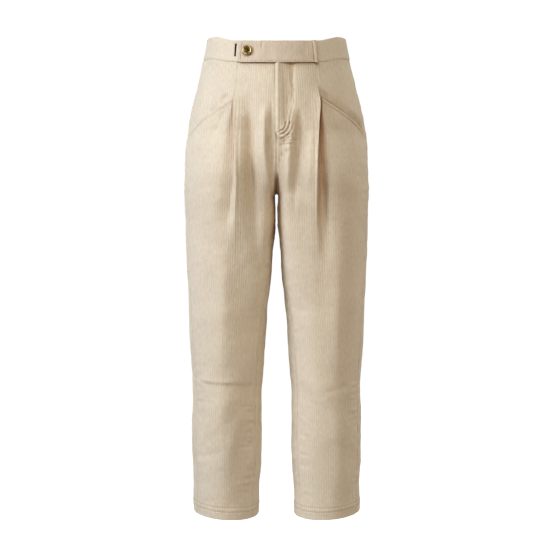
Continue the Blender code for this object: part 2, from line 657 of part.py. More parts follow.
def make_button(material):
    """The round metal button: a raised rim round a sunk centre."""
    level = np.array(BUTTON_LEVEL)
    angle = band_angle(-BUTTON_X, level)
    lift = BAND_OUT + TAB_CLOTH + 2.3 * SEAM_GAP

    def point(levels, angles):
        return band_point(LEFT, levels, angles / BAND_RADIUS, lift)

    seat = point(level, angle * BAND_RADIUS)
    axis = outward(point, level, angle * BAND_RADIUS, LEFT)
    across = np.cross((0.0, 0.0, 1.0), axis)
    across /= np.linalg.norm(across)
    up = np.cross(axis, across)
    turns = np.radians(np.arange(BUTTON_SIDES) * 360 / BUTTON_SIDES)
    circle = np.cos(turns)[:, None] * across + np.sin(turns)[:, None] * up
    rings = [seat + BUTTON_RADIUS * row.radius * circle + BUTTON_HEIGHT * row.height * axis for row in BUTTON_PROFILE]
    points = np.concatenate(rings + [[seat, seat + BUTTON_HEIGHT * BUTTON_PROFILE[-1].height * axis]]) * MM
    back, face = len(points) - 2, len(points) - 1
    last = BUTTON_SIDES * (len(BUTTON_PROFILE) - 1)
    faces = []
    for k in range(BUTTON_SIDES):
        after = (k + 1) % BUTTON_SIDES
        for row in range(len(BUTTON_PROFILE) - 1):
            start = row * BUTTON_SIDES
            faces.append([start + k, start + after, start + BUTTON_SIDES + after, start + BUTTON_SIDES + k])
        faces.append([back, after, k])
        faces.append([face, last + k, last + after])
    mesh = bpy.data.meshes.new("button")
    mesh.from_pydata(points.tolist(), [], faces)
    mesh.validate()
    return add_object("button", mesh, material)


def main():
    for thing in list(bpy.data.objects):
        bpy.data.objects.remove(thing)
    cloth_nodes = []
    for side in (LEFT, RIGHT):
        name = SIDE_NAMES[side]
        for face in (FRONT, BACK):
            cloth_nodes.append(make_panel(side, face, make_material(f"{face}_{name}", CORDUROY, 0.92, sheen=0.4)))
        cloth_nodes.append(make_hip(side, make_material(f"hip_{name}", CORDUROY, 0.92, sheen=0.4)))
        cloth_nodes.append(make_waistband(side, make_material(f"waistband_{name}", CORDUROY, 0.92, sheen=0.4)))
    make_tab(make_material("waistband_tab", CORDUROY, 0.92, sheen=0.4))
    make_belt_loop(make_material("belt_loop", CORDUROY, 0.92, sheen=0.4))
    make_button(make_material("button", BRASS, 0.35, metallic=1.0))
    make_bar_tack(make_material("bar_tack", BLACK_THREAD, 0.7))


main()
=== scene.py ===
"""Pleated corduroy trousers with a long waist tab, dressed for a picture.

Every cloth piece is rebuilt on its solid's form with its ribs, creases, seams and sewing. Lengths are in
millimetres until a mesh is made. A level is a distance down from the waistband's top edge, an angle goes
round a section from its front over the side to its back, and a distance runs along the cloth from its grain
line. A push moves the cloth outwards.
"""

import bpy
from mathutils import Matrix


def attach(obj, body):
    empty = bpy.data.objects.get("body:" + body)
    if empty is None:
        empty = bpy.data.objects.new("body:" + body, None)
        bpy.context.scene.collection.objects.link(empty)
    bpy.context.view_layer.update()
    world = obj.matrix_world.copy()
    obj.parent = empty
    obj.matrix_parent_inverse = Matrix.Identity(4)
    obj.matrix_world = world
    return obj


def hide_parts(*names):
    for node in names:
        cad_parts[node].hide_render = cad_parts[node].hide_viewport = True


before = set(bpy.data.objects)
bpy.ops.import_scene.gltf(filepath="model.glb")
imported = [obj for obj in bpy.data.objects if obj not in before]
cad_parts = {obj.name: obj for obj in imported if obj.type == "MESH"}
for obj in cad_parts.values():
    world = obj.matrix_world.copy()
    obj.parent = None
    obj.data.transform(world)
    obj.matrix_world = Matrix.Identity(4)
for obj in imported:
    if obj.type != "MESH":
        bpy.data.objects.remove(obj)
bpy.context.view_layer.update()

import logging
import math
from dataclasses import dataclass
from enum import Enum
from typing import Callable, Iterable, NamedTuple, Sequence

import bpy
import numpy as np
from mathutils import Vector

Array = np.ndarray
Flat = tuple[float, float]
Colour = tuple[float, float, float]
Place = tuple[float, float, float]
Edges = tuple[Array, Array]
PointOf = Callable[..., Array]
Material = bpy.types.Material
Piece = bpy.types.Object
Socket = bpy.types.NodeSocket
log = logging.getLogger("trousers")

MM = 0.001


class Side(Enum):
    """The wearer's left or right. The value is the sign of x."""

    LEFT = 1
    RIGHT = -1

    @property
    def word(self) -> str:
        """The side's name in a piece's name."""
        return self.name.lower()


class FaceName(Enum):
    """The half of the garment that a panel covers."""

    FRONT = "front"
    BACK = "back"


LEFT, RIGHT = Side.LEFT, Side.RIGHT
FRONT, BACK = FaceName.FRONT, FaceName.BACK


def smooth(place: Array | float, places: Sequence[float], values: Sequence[float]) -> Array:
    """A curve through points that never swings past them.

    Args:
        place: Where to read the curve.
        places: The points' places, rising.
        values: The points' values.

    Returns:
        The curve's value at each place.
    """
    xs, ys = np.asarray(places, float), np.asarray(values, float)
    steps = np.diff(xs)
    slopes = np.diff(ys) / steps
    tangents = np.concatenate([slopes[:1], np.zeros(len(slopes) - 1), slopes[-1:]])
    same = slopes[:-1] * slopes[1:] > 0
    both = slopes[:-1] + slopes[1:]
    tangents[1:-1][same] = 2 * (slopes[:-1] * slopes[1:])[same] / both[same]
    x = np.clip(place, xs[0], xs[-1])
    index = np.clip(np.searchsorted(xs, x, side="right") - 1, 0, len(steps) - 1)
    t = (x - xs[index]) / steps[index]
    return (
        (1 + 2 * t) * (1 - t) ** 2 * ys[index]
        + t * (1 - t) ** 2 * steps[index] * tangents[index]
        + t**2 * (3 - 2 * t) * ys[index + 1]
        + t**2 * (t - 1) * steps[index] * tangents[index + 1]
    )


def column(table: Sequence[NamedTuple], name: str, place: Array | float) -> Array:
    """The named column of a table as a smooth curve over the table's first column."""
    return smooth(place, [row[0] for row in table], [getattr(row, name) for row in table])


def ease(t: Array | float) -> Array:
    """A soft step from 0 to 1."""
    t = np.clip(t, 0, 1)
    return t * t * (3 - 2 * t)


def span(place: Array, low: float, high: float, rise: float, fall: float) -> Array:
    """1 between two places and 0 outside them, with a soft rise and fall inside them."""
    return ease((place - low) / rise) * ease((high - place) / fall)


def bell(distance: Array, run: float) -> Array:
    """A soft ridge of height 1."""
    return np.exp(-((distance / run) ** 2))


def bump(distance: Array, inner: float, outer: float, power: float = 2.0) -> Array:
    """A ridge of height 1 with its own run on each side. A power under 2 makes it crisper."""
    return np.exp(-(np.abs(distance / np.where(distance < 0, inner, outer)) ** power))


def rounded(depth: Array, radius: float) -> Array:
    """How far a surface falls back at a depth from its rounded edge, as a share of the radius."""
    inside = np.clip(1 - depth / radius, 0, 1)
    return 1 - np.sqrt(1 - inside**2)


class Section(NamedTuple):
    """Half of a section: its outer edge, half the gap between the legs, its depths and inner squareness."""

    level: float
    outer: float
    gap: float
    front: float
    back: float
    square: float


class Seams(NamedTuple):
    """Where the seams run round a section, in degrees from its front."""

    level: float
    side: float
    inseam: float


class Grain(NamedTuple):
    """The grain line of each face, as a distance from the centre plane."""

    level: float
    front: float
    back: float


class Pleat(NamedTuple):
    """A pleat's ridge, inset from the grain line, with the trough outside it."""

    level: float
    inset: float
    height: float
    width: float
    depth: float
    lean: float
    run: float


class PleatCut(NamedTuple):
    """What is one side's own about its pleat, over the whole of its length."""

    crisp: float  # the width of its outer wall against the solid's
    channel: float  # how much deeper the cloth tucks in beside the wall than the solid
    run: float  # how wide that tuck is
    outer_run: float  # how wide the shallow trough outside it is


class Fold(NamedTuple):
    """A fold that runs down the cloth through three points. A negative height is a trough."""

    side: Side
    face: FaceName
    top: float
    x_top: float
    middle: float
    x_middle: float
    low: float
    x_low: float
    inner: float
    outer: float
    height: float
    power: float = 2.0

    def push(self, level: Array, x: Array) -> Array:
        """How far the fold pushes the cloth outwards.

        Args:
            level: The points' levels.
            x: Their distances from the centre plane.

        Returns:
            The push in millimetres.
        """
        path = smooth(level, (self.top, self.middle, self.low), (self.x_top, self.x_middle, self.x_low))
        share = (level - self.top) / (self.low - self.top)
        strength = span(share, 0, 1, FOLD_GROWS, FOLD_FADES)
        return self.height * strength * bump(x - path, self.inner, self.outer, self.power)


class Crease(NamedTuple):
    """A crease that runs across the leg. A negative height is a trough."""

    side: Side
    face: FaceName
    x_from: float
    level_from: float
    x_to: float
    level_to: float
    width: float
    height: float
    bow: float = 0.0

    def push(self, level: Array, x: Array) -> Array:
        """How far the crease pushes the cloth outwards.

        Args:
            level: The points' levels.
            x: Their distances from the centre plane.

        Returns:
            The push in millimetres.
        """
        share = (x - self.x_from) / (self.x_to - self.x_from)
        path = self.level_from + (self.level_to - self.level_from) * share
        path = path + self.bow * 4 * share * (1 - share)
        run = np.sign(self.x_to - self.x_from) * CREASE_END_RUN
        return self.height * span(x, self.x_from, self.x_to, run, run) * bell(level - path, self.width)


class Pucker(NamedTuple):
    """Small puckers beside a seam, from one level to another."""

    side: Side
    face: FaceName
    seam: str
    top: float
    low: float
    reach: float
    pitch: float
    height: float
    turn: float = 0.22  # how much the puckers change away from the seam
    ladder: float = 0.0  # how regular they are


def rows_as(kind: type, *rows: tuple) -> tuple:
    """Rows of numbers as a table's named rows."""
    return tuple(kind(*row) for row in rows)


def marks_as(kind: type, *groups: tuple) -> tuple:
    """Folds or creases, from groups that each start with their side and face."""
    return tuple(kind(side, face, *row) for side, face, *rows in groups for row in rows)


SECTIONS = rows_as(
    Section,
    (0, 131.5, 0.0, 98, 98, 3.0), (42, 139.7, 0.0, 103, 106, 3.0), (80, 149.2, 0.0, 108, 117, 3.0),
    (120, 159.4, 0.0, 113, 128, 3.0), (160, 167.8, 0.0, 117, 138, 3.0), (200, 173.7, 0.0, 118, 143, 3.0),
    (240, 176.4, 0.0, 117, 142, 3.0), (297.5, 177.6, 0.0, 107.6, 123, 3.0),
    (302, 177.6, 0.3, 107, 121.6, 3.0), (311, 177.4, 0.95, 105.4, 119.2, 3.0),
    (325, 177.0, 1.9, 103, 116, 2.95), (356, 176.3, 2.8, 99, 109, 2.85), (403, 175.6, 6.8, 94, 101, 2.7),
    (450, 173.9, 9.8, 91, 95, 2.55), (512, 171.3, 16.7, 87, 87, 2.4), (560, 170.5, 20.6, 85, 82, 2.3),
    (607, 167.8, 23.5, 83, 77, 2.2), (654, 164.3, 26.5, 81, 73, 2.1), (685, 163.6, 29.4, 80, 72, 2.1),
    (732, 165.3, 29.4, 77, 74, 2.1), (779, 166.2, 29.4, 74, 75, 2.1), (826, 164.9, 30.4, 71, 75, 2.1),
    (873, 163.6, 34.3, 68, 74, 2.1), (924, 163.6, 35.3, 66, 73, 2.1),
)
# How much squarer a leg's inner front is than its inner back, and the extra gap below the crotch, by level
INNER_FRONT = (172, 240, 297.5, 325, 356, 403, 450, 560), (0.0, 1.2, 2.8, 2.7, 2.2, 1.4, 0.7, 0.0)
OPENING = (297.5, 299.3, 311.0, 325.0), (0.0, 3.4, 2.3, 0.0)
OPENING_RUN = 7.0
SEAMS = rows_as(
    Seams,
    (0, 79, 90), (240, 77, 90), (297.5, 75, 90), (400, 70, 76), (520, 65, 62), (620, 62, 57), (924, 61, 56),
)
GRAIN = rows_as(
    Grain,
    (0, 72, 70), (41.5, 73.3, 72), (106, 78, 78), (200, 78.8, 82), (300, 80.8, 86), (430, 84.5, 90),
    (560, 91, 95), (700, 96, 98), (924, 98.5, 98.5),
)
# How far the waist's top edge dips, by angle
WAIST_DIP = (-90, -62, -35, 0, 35, 62, 90, 180), (3, 0.5, 8.5, 9.5, 8.5, 0.5, 3, 2)
WAIST_SEAM = 41.65  # level at which the panels start
SEAM_GAP = 0.3  # between two sewn pieces

PLEATS = {
    LEFT: rows_as(
        Pleat,
        (92, 0.0, 0.0, 5, 0.0, 0.0, 14), (106, 0.0, 2.2, 4.5, 0.0, 1.0, 14),
        (125, -0.5, 3.6, 5.5, 2.5, 2.5, 15), (150, -3.8, 4.8, 6.5, 6.0, 3.0, 16),
        (180, -5.4, 5.5, 7.5, 8.5, 3.0, 17), (216, -7.0, 5.5, 8.5, 9.0, 3.0, 18),
        (273, -7.4, 4.6, 10, 7.4, 2.6, 20), (330, -8.6, 3.2, 12, 6.0, 1.6, 22),
        (375, -7.0, 0.9, 15, 4.0, 0.5, 24), (430, -8, 0.0, 20, 0.0, 0.0, 24),
    ),
    RIGHT: rows_as(
        Pleat,
        (92, 0.0, 0.0, 5, 0.0, 0.0, 13), (106, -0.5, 2.2, 4.5, 0.0, 1.0, 14),
        (125, -2.0, 3.4, 5.5, 2.0, 2.5, 15), (150, -4.0, 4.8, 6.5, 5.0, 3.5, 17),
        (180, -6.0, 6.0, 7.5, 7.5, 4.0, 18), (216, -7.6, 7.6, 8.5, 7.5, 4.0, 18),
        (273, -8.0, 8.0, 9.5, 5.6, 3.5, 22), (320, -6.2, 6.8, 12, 3.0, 2.0, 30),
        (365, -5.0, 3.5, 18, 1.0, 0.5, 34), (430, -5.0, 0.0, 26, 0.0, 0.0, 36),
    ),
}
PLEAT_CUTS = {LEFT: PleatCut(0.95, 6.5, 10.0, 22.0), RIGHT: PleatCut(1.2, 0.0, 13.0, 30.0)}
PLEAT_TOP, PLEAT_LOW = 106.0, 385.0  # where the pressed edge and the channel run
PLEAT_STARTS, PLEAT_FADES = 8.0, 120.0
PLEAT_TOP_WIDTH, PLEAT_WIDENS = 0.6, 60.0  # its share of its width at the top, and the run to all of it
PLEAT_BROAD = 0.45  # the trough's share that is shallow and wide, with the rest in the channel
CHANNEL_RUN, CHANNEL_WIDENS = 3.0, 110.0
PLEAT_CREST, CREST_INNER, CREST_OUTER = 1.1, 3.0, 1.6  # the pressed edge
PLEAT_LEAN_RUN = 6.0

FOLDS = marks_as(
    Fold,
    (LEFT, FRONT,
        (126, 42, 210, 40, 325, 35, 9, 11, -4.4), (140, 34, 216, 23, 330, 20, 8, 9, 2.6),
        (62, 20, 120, 20, 178, 17, 4, 4, -1.6), (116, 88, 165, 108, 228, 138, 7, 8, -2.6),
        (300, 128, 470, 122, 660, 112, 20, 22, 2.4), (690, 104, 800, 121, 912, 114, 15, 18, 2.4),
        (50, 12.5, 110, 14.5, 178, 18.5, 3.4, 3.6, -1.6, 1.6),
        (20, 29.0, 100, 29.5, 172, 19, 24, 2.8, -4.6, 1.2), (150, 33, 205, 24, 320, 20, 5, 6, 1.9),
        (200, 64, 320, 66, 520, 74, 24, 22, 2.2, 1.2), (124, 43, 190, 41, 260, 38, 5, 6, -2.4),
        (420, 116, 590, 115, 700, 116, 14, 14, 1.9, 1.5), (660, 120, 780, 130, 915, 126, 18, 18, 1.2, 1.5),
        (205, 6, 250, 4.5, 300, 3, 3, 4, -1.8, 1.6), (120, 13, 150, 15, 182, 14, 3.5, 3.5, -1.2),
        (150, 66, 230, 62, 330, 54, 4, 5, 0.9), (180, 58, 260, 36, 380, 30, 4, 6, -1.0),
    ),
    (RIGHT, FRONT,
        (96, 53, 225, 49, 505, 25, 10, 16, -8.4), (122, 21, 200, 24, 290, 13, 7, 9, 3.4),
        (124, 92, 165, 112, 222, 137, 7, 8, -1.8), (300, 104, 480, 97, 660, 93, 22, 24, 2.6),
        (700, 55, 795, 88, 900, 106, 14, 18, 2.6), (108, 22, 195, 23, 300, 12, 6, 5, 2.8),
        (104, 9, 190, 7, 280, 4, 5, 4, -3.4), (98, 52, 200, 50, 340, 42, 7, 8, -3.0),
        (400, 98, 590, 104, 700, 106, 20, 14, 2.2, 1.6), (380, 54, 560, 60, 700, 70, 22, 24, -3.4),
        (640, 106, 780, 104, 925, 106, 20, 16, 2.0, 1.6), (640, 72, 780, 63, 925, 62, 22, 22, -4.2),
        (170, 15, 235, 10, 330, 3, 4, 5, -3.2, 1.6), (160, 68, 240, 64, 350, 56, 4, 5, 0.9),
        (210, 36, 270, 30, 390, 24, 4, 6, -1.1),
    ),
    (LEFT, BACK,
        (312, 16, 385, 56, 480, 100, 10, 14, -4.5), (350, 12, 450, 42, 590, 62, 9, 13, -3.0),
        (330, 122, 470, 118, 630, 110, 18, 20, 2.6), (700, 78, 800, 92, 908, 100, 16, 20, 2.2),
        (150, 60, 240, 70, 330, 96, 10, 12, -1.2), (430, 98, 640, 97, 900, 98, 12, 14, 1.2, 1.25),
    ),
    (RIGHT, BACK,
        (315, 14, 395, 52, 500, 94, 10, 14, -4.0), (345, 14, 440, 46, 570, 70, 9, 13, -3.4),
        (320, 118, 480, 116, 640, 108, 18, 20, 2.4), (705, 112, 800, 100, 908, 92, 16, 20, 2.4),
        (150, 64, 240, 74, 330, 92, 10, 12, -1.2), (430, 98, 640, 97, 900, 98, 12, 14, 1.2, 1.25),
    ),
)
FOLD_GROWS, FOLD_FADES = 0.22, 0.5  # shares of a fold's length
FOLD_EDGE_RUN = 14.0  # a fold dies out this far from a seam

CREASES = marks_as(
    Crease,
    (LEFT, FRONT,
        (88, 676, 146, 662, 9, -1.0), (78, 688, 136, 676, 6, 0.5), (92, 684, 132, 680, 3.2, -0.4),
        (96, 694, 128, 690, 3.2, -0.3), (96, 772, 158, 792, 6.0, -0.9),
    ),
    (RIGHT, FRONT,
        (38, 658, 152, 652, 5, 0.7, -1.5), (38, 669, 150, 663, 7, -0.7, -1.5),
        (34, 667, 146, 659, 1.8, -0.8, -2.0), (80, 655, 156, 651, 2.4, 0.5, 1.0),
        (84, 663, 140, 655, 2.4, 0.5), (30, 712, 74, 702, 4.0, -0.9), (100, 790, 158, 806, 6.0, -0.8),
    ),
    (LEFT, BACK,
        (44, 636, 150, 648, 9, -4.0), (48, 672, 148, 664, 8, -3.4), (52, 655, 128, 655, 2.4, -0.9),
    ),
    (RIGHT, BACK,
        (44, 644, 150, 634, 9, -4.0), (48, 668, 148, 676, 8, -3.0), (52, 656, 128, 652, 2.4, -0.9),
    ),
)
CREASE_END_RUN = 16.0

PUCKERS = (
    Pucker(RIGHT, FRONT, "centre", 690, 905, 11, 9.0, 1.7, 0.1, 0.75),
    Pucker(LEFT, FRONT, "centre", 700, 900, 11, 9.0, 0.8, 0.1, 0.7),
    Pucker(RIGHT, FRONT, "side", 500, 895, 9, 13.0, 0.45),
    Pucker(LEFT, FRONT, "side", 500, 895, 9, 12.0, 0.6),
    Pucker(RIGHT, FRONT, "side", 186, 420, 10, 15.0, 0.4),
    Pucker(LEFT, FRONT, "side", 186, 420, 10, 15.0, 0.5),
    Pucker(RIGHT, FRONT, "centre", 330, 640, 10, 14.0, 0.5),
    Pucker(LEFT, FRONT, "centre", 330, 640, 10, 14.0, 0.5),
    Pucker(LEFT, FRONT, "centre", 160, 252, 14, 9.0, 0.9, 0.8),
    Pucker(RIGHT, FRONT, "centre", 186, 262, 9, 9.0, 0.35),
    Pucker(LEFT, BACK, "centre", 60, 290, 10, 13.0, 0.5),
    Pucker(RIGHT, BACK, "centre", 60, 290, 10, 13.0, 0.5),
    Pucker(LEFT, BACK, "centre", 330, 895, 11, 12.0, 0.6),
    Pucker(RIGHT, BACK, "centre", 330, 895, 11, 12.0, 0.6),
    Pucker(LEFT, BACK, "side", 80, 895, 9, 14.0, 0.45),
    Pucker(RIGHT, BACK, "side", 80, 895, 9, 14.0, 0.45),
)
PUCKER_ENDS, PUCKER_WAVES, PUCKER_SEED = 30.0, 9, 40
LADDER_PITCH, LADDER_WANDER = 7.2, 0.4


@dataclass(frozen=True)
class Form:
    """The plain hollow form that the cloth hangs on, from the waist to the hems."""

    mid_waistband: float = 20.5
    fork_top: float = 172.0
    fork_start: float = 1.6
    fork_end: float = 1.5
    crotch: float = 297.5
    hem: float = 924.0
    dip_ends: float = 240.0
    hem_tilt: float = 3.7
    hem_front_dip: float = 3.0
    hem_tilt_run: float = 150.0

    def fork(self, level: Array) -> Array:
        """0 where the section is one ring, 1 from the crotch down, where it is two."""
        above = np.clip((self.crotch - level) / (self.crotch - self.fork_top), 0, 1)
        return (1 - above**self.fork_end) ** self.fork_start

    def ring(self, level: Array) -> tuple[Array, Array]:
        """Centre and half width of the left half of a section."""
        gap = column(SECTIONS, "gap", level)
        half = (column(SECTIONS, "outer", level) - gap) / (1 + self.fork(level))
        return gap + self.fork(level) * half, half

    def outline(self, level: Array, angle: Array) -> tuple[Array, Array, Array, Array]:
        """The plain section, without folds.

        Args:
            level: The points' levels.
            angle: Their angles, in radians.

        Returns:
            The points' x and y, and their outward directions' x and y.
        """
        centre, half = self.ring(level)
        across, ahead = np.sin(angle), np.sign(np.cos(angle))
        depth = np.where(ahead > 0, column(SECTIONS, "front", level), column(SECTIONS, "back", level))
        inner = column(SECTIONS, "square", level) + np.where(ahead > 0, smooth(level, *INNER_FRONT), 0)
        square = np.where(across < 0, inner, 2.0)
        along = np.clip(1 - np.abs(across) ** square, 1e-9, 1) ** (1 / square)
        out_x = np.sign(across) * np.abs(across) ** (square - 1) / half
        out_y = -ahead * along ** (square - 1) / depth
        length = np.hypot(out_x, out_y)
        x = centre + half * across
        x = x + smooth(level, *OPENING) * np.exp(-(x - column(SECTIONS, "gap", level)) / OPENING_RUN)
        return x, -ahead * depth * along, out_x / length, out_y / length

    def height(self, level: Array, angle: Array) -> Array:
        """Height of the cloth, with the waist's dip and the hem's tilt.

        Args:
            level: The points' levels.
            angle: Their angles, in radians.

        Returns:
            The points' z.
        """
        dip = smooth(np.degrees(angle), *WAIST_DIP) * np.clip(1 - level / self.dip_ends, 0, None)
        share = ease((level - self.hem + self.hem_tilt_run) / self.hem_tilt_run)
        tilt = share * (self.hem_front_dip * np.cos(angle) - self.hem_tilt * np.sin(angle))
        return self.mid_waistband - level - dip - tilt


FORM = Form()


class Face:
    """Measures along the cloth of one face, round the section, from the face's grain line."""

    LEVELS = np.arange(-20.0, FORM.hem + 20, 4.0)
    ANGLES = np.radians(np.arange(-112.0, 326.0, 2.0))
    DISTANCES = np.arange(-420.0, 422.0, 3.0)

    def __init__(self, name: FaceName) -> None:
        """Lays the section's arcs out in tables.

        Args:
            name: The face to measure.
        """
        self.name = name
        level = np.repeat(self.LEVELS[:, None], len(self.ANGLES), axis=1)
        x, y, _, _ = FORM.outline(level, self.ANGLES[None, :])
        steps = np.hypot(np.diff(x, axis=1, prepend=x[:, :1]), np.diff(y, axis=1, prepend=y[:, :1]))
        arcs = np.cumsum(steps, axis=1)
        centre, half = FORM.ring(self.LEVELS)
        grain = np.arcsin(np.clip((column(GRAIN, name.value, self.LEVELS) - centre) / half, -1, 1))
        if name is BACK:
            grain = np.pi - grain
        zero = [np.interp(angle, self.ANGLES, arc) for angle, arc in zip(grain, arcs)]
        self.arcs = arcs - np.array(zero)[:, None]
        self.angles = np.array([np.interp(self.DISTANCES, arc, self.ANGLES) for arc in self.arcs])

    @staticmethod
    def between(table: Array, rows: Array, columns: Array, row: Array, col: Array) -> Array:
        """A table's value between its evenly spaced rows and columns.

        Args:
            table: The table.
            rows: The places of its rows.
            columns: The places of its columns.
            row: Where to read it, by the rows' places.
            col: Where to read it, by the columns' places.

        Returns:
            The value at each place.
        """
        r = np.clip((row - rows[0]) / (rows[1] - rows[0]), 0, len(rows) - 1.001)
        c = np.clip((col - columns[0]) / (columns[1] - columns[0]), 0, len(columns) - 1.001)
        i, j = r.astype(int), c.astype(int)
        r, c = r - i, c - j
        top = table[i, j] * (1 - c) + table[i, j + 1] * c
        low = table[i + 1, j] * (1 - c) + table[i + 1, j + 1] * c
        return top * (1 - r) + low * r

    def angle(self, level: Array, distance: Array) -> Array:
        """The angle that a cloth distance reaches at a level."""
        return self.between(self.angles, self.LEVELS, self.DISTANCES, level, distance)

    def distance(self, level: Array, angle: Array) -> Array:
        """The cloth distance of an angle at a level."""
        return self.between(self.arcs, self.LEVELS, self.ANGLES, level, angle)

    def side_edge(self, level: Array) -> Array:
        """Distance of the side seam."""
        return self.distance(level, np.radians(column(SEAMS, "side", level)))

    def centre_edge(self, level: Array) -> Array:
        """Distance of the centre seam above the crotch and of the inseam below it.

        Args:
            level: The levels to measure at.

        Returns:
            The distance at each level.
        """
        above = np.arcsin(np.clip(FORM.fork(level), 0, 1))
        turn = np.where(level < FORM.crotch, above, np.radians(column(SEAMS, "inseam", level)))
        if self.name is FRONT:
            return self.distance(level, -turn)
        return self.distance(level, np.where(level < FORM.crotch, np.pi + turn, 2 * np.pi - turn))


FACES = {name: Face(name) for name in FaceName}


@dataclass(frozen=True)
class Unevenness:
    """Soft, seeded waves over the cloth, so that no stretch of it is perfectly even."""

    seed: int
    height: float
    wave: float
    count: int = 14

    def push(self, across: Array, down: Array) -> Array:
        """How far the waves push the cloth outwards.

        Args:
            across: The points' places across the cloth.
            down: Their places down it.

        Returns:
            The push in millimetres.
        """
        rng = np.random.default_rng(self.seed)
        total = np.zeros(np.broadcast(across, down).shape)
        for _ in range(self.count):
            turn, phase = rng.uniform(0, 2 * np.pi, 2)
            length = self.wave * rng.uniform(0.6, 1.7)
            place = across * np.cos(turn) + down * np.sin(turn)
            total = total + np.sin(2 * np.pi * place / length + phase)
        return self.height * total / math.sqrt(self.count)


@dataclass(frozen=True)
class Ribs:
    """The corduroy's wales: round crests with narrow grooves between them."""

    pitch: float = 4.5
    height: float = 0.36
    columns: int = 4  # points across one wale
    over_middle: float = 0.6  # the crest's share of the height over the cloth's middle height
    worn: float = 0.4  # how much flatter they are on the legs
    worn_from: float = 330.0
    worn_run: float = 160.0

    @property
    def step(self) -> float:
        """The distance between two columns of points."""
        return self.pitch / self.columns

    def push(self, distance: Array) -> Array:
        """The rib's height over the cloth's middle height, by distance along the cloth."""
        turn = (1 - np.cos(2 * np.pi * distance / self.pitch)) / 2
        return self.height * (self.over_middle - turn**2)

    def columns_between(self, low: float, high: float) -> Array:
        """Distances of the columns that cover a stretch, with one spare on each side."""
        return np.arange(math.floor(low / self.step) - 1, math.ceil(high / self.step) + 2) * self.step


RIBS = Ribs()


@dataclass(frozen=True)
class Sewing:
    """One row of stitches, as a route over the cloth by level and distance, and the groove it presses."""

    levels: Array
    distances: Array
    depth: float = 0.7
    width: float = 1.3
    ridge: float = 0.0  # cloth raised beside the stitches

    REACH = 6.0  # widths from the route at which its pull ends
    RIDGE_AT = 2.1  # widths from the route to the ridge

    def groove(self, level: Array, distance: Array) -> Array:
        """How far the stitches pull the cloth in.

        Args:
            level: The points' levels.
            distance: Their cloth distances.

        Returns:
            The pull in millimetres, most on the route itself.
        """
        level, distance = np.broadcast_arrays(level, distance)
        reach = self.REACH * self.width
        near = np.ones(level.shape, bool)
        for place, route in ((level, self.levels), (distance, self.distances)):
            near &= (place > min(route) - reach) & (place < max(route) + reach)
        pull = np.zeros(level.shape)
        if near.any():
            pull[near] = self.pull(level[near], distance[near])
        return pull

    def pull(self, level: Array, distance: Array) -> Array:
        """The pull at points near the route.

        Args:
            level: The points' levels.
            distance: Their cloth distances.

        Returns:
            The pull in millimetres.
        """
        nearest = np.full(level.shape, np.inf)
        route = np.stack([self.levels, self.distances], axis=-1)
        for start, end in zip(route, route[1:]):
            along = end - start
            length = max(float(along @ along), 1e-9)
            off_level, off_distance = level - start[0], distance - start[1]
            t = np.clip((off_level * along[0] + off_distance * along[1]) / length, 0, 1)
            nearest = np.minimum(nearest, np.hypot(off_level - t * along[0], off_distance - t * along[1]))
        raised = self.ridge * bell(nearest - self.RIDGE_AT * self.width, self.width)
        return self.depth * bell(nearest, self.width) - raised


@dataclass(frozen=True)
class FoldedEdge:
    """A folded edge that stands proud, with its rounded corner, over a stretch of the cloth."""

    away: PointOf  # distance from the edge, by level and cloth distance
    strength: PointOf
    height: float
    at: float
    run: float
    corner: float
    drop: float

    def groove(self, level: Array, distance: Array) -> Array:
        """How far the edge pulls the cloth in, which is out where it stands proud.

        Args:
            level: The points' levels.
            distance: Their cloth distances.

        Returns:
            The pull at each point.
        """
        away = self.away(level, distance)
        proud = self.height * bump(away - self.at, self.run, self.run * 1.5)
        fall = self.drop * rounded(np.maximum(away, 0), self.corner)
        return self.strength(level, distance) * (fall - proud)


def outward(point: PointOf, level: Array, across: Array, side: Side) -> Array:
    """Outward normals of a surface, from its slopes.

    Args:
        point: The surface's point for a level and a place across.
        level: Levels of the points.
        across: Their places across.
        side: The side of the garment, which sets the direction round it.

    Returns:
        A unit normal for each point.
    """
    step = 0.4
    down = point(level + step, across) - point(level - step, across)
    onward = point(level, across + step) - point(level, across - step)
    normal = side.value * np.cross(down, onward)
    return normal / np.linalg.norm(normal, axis=-1, keepdims=True)


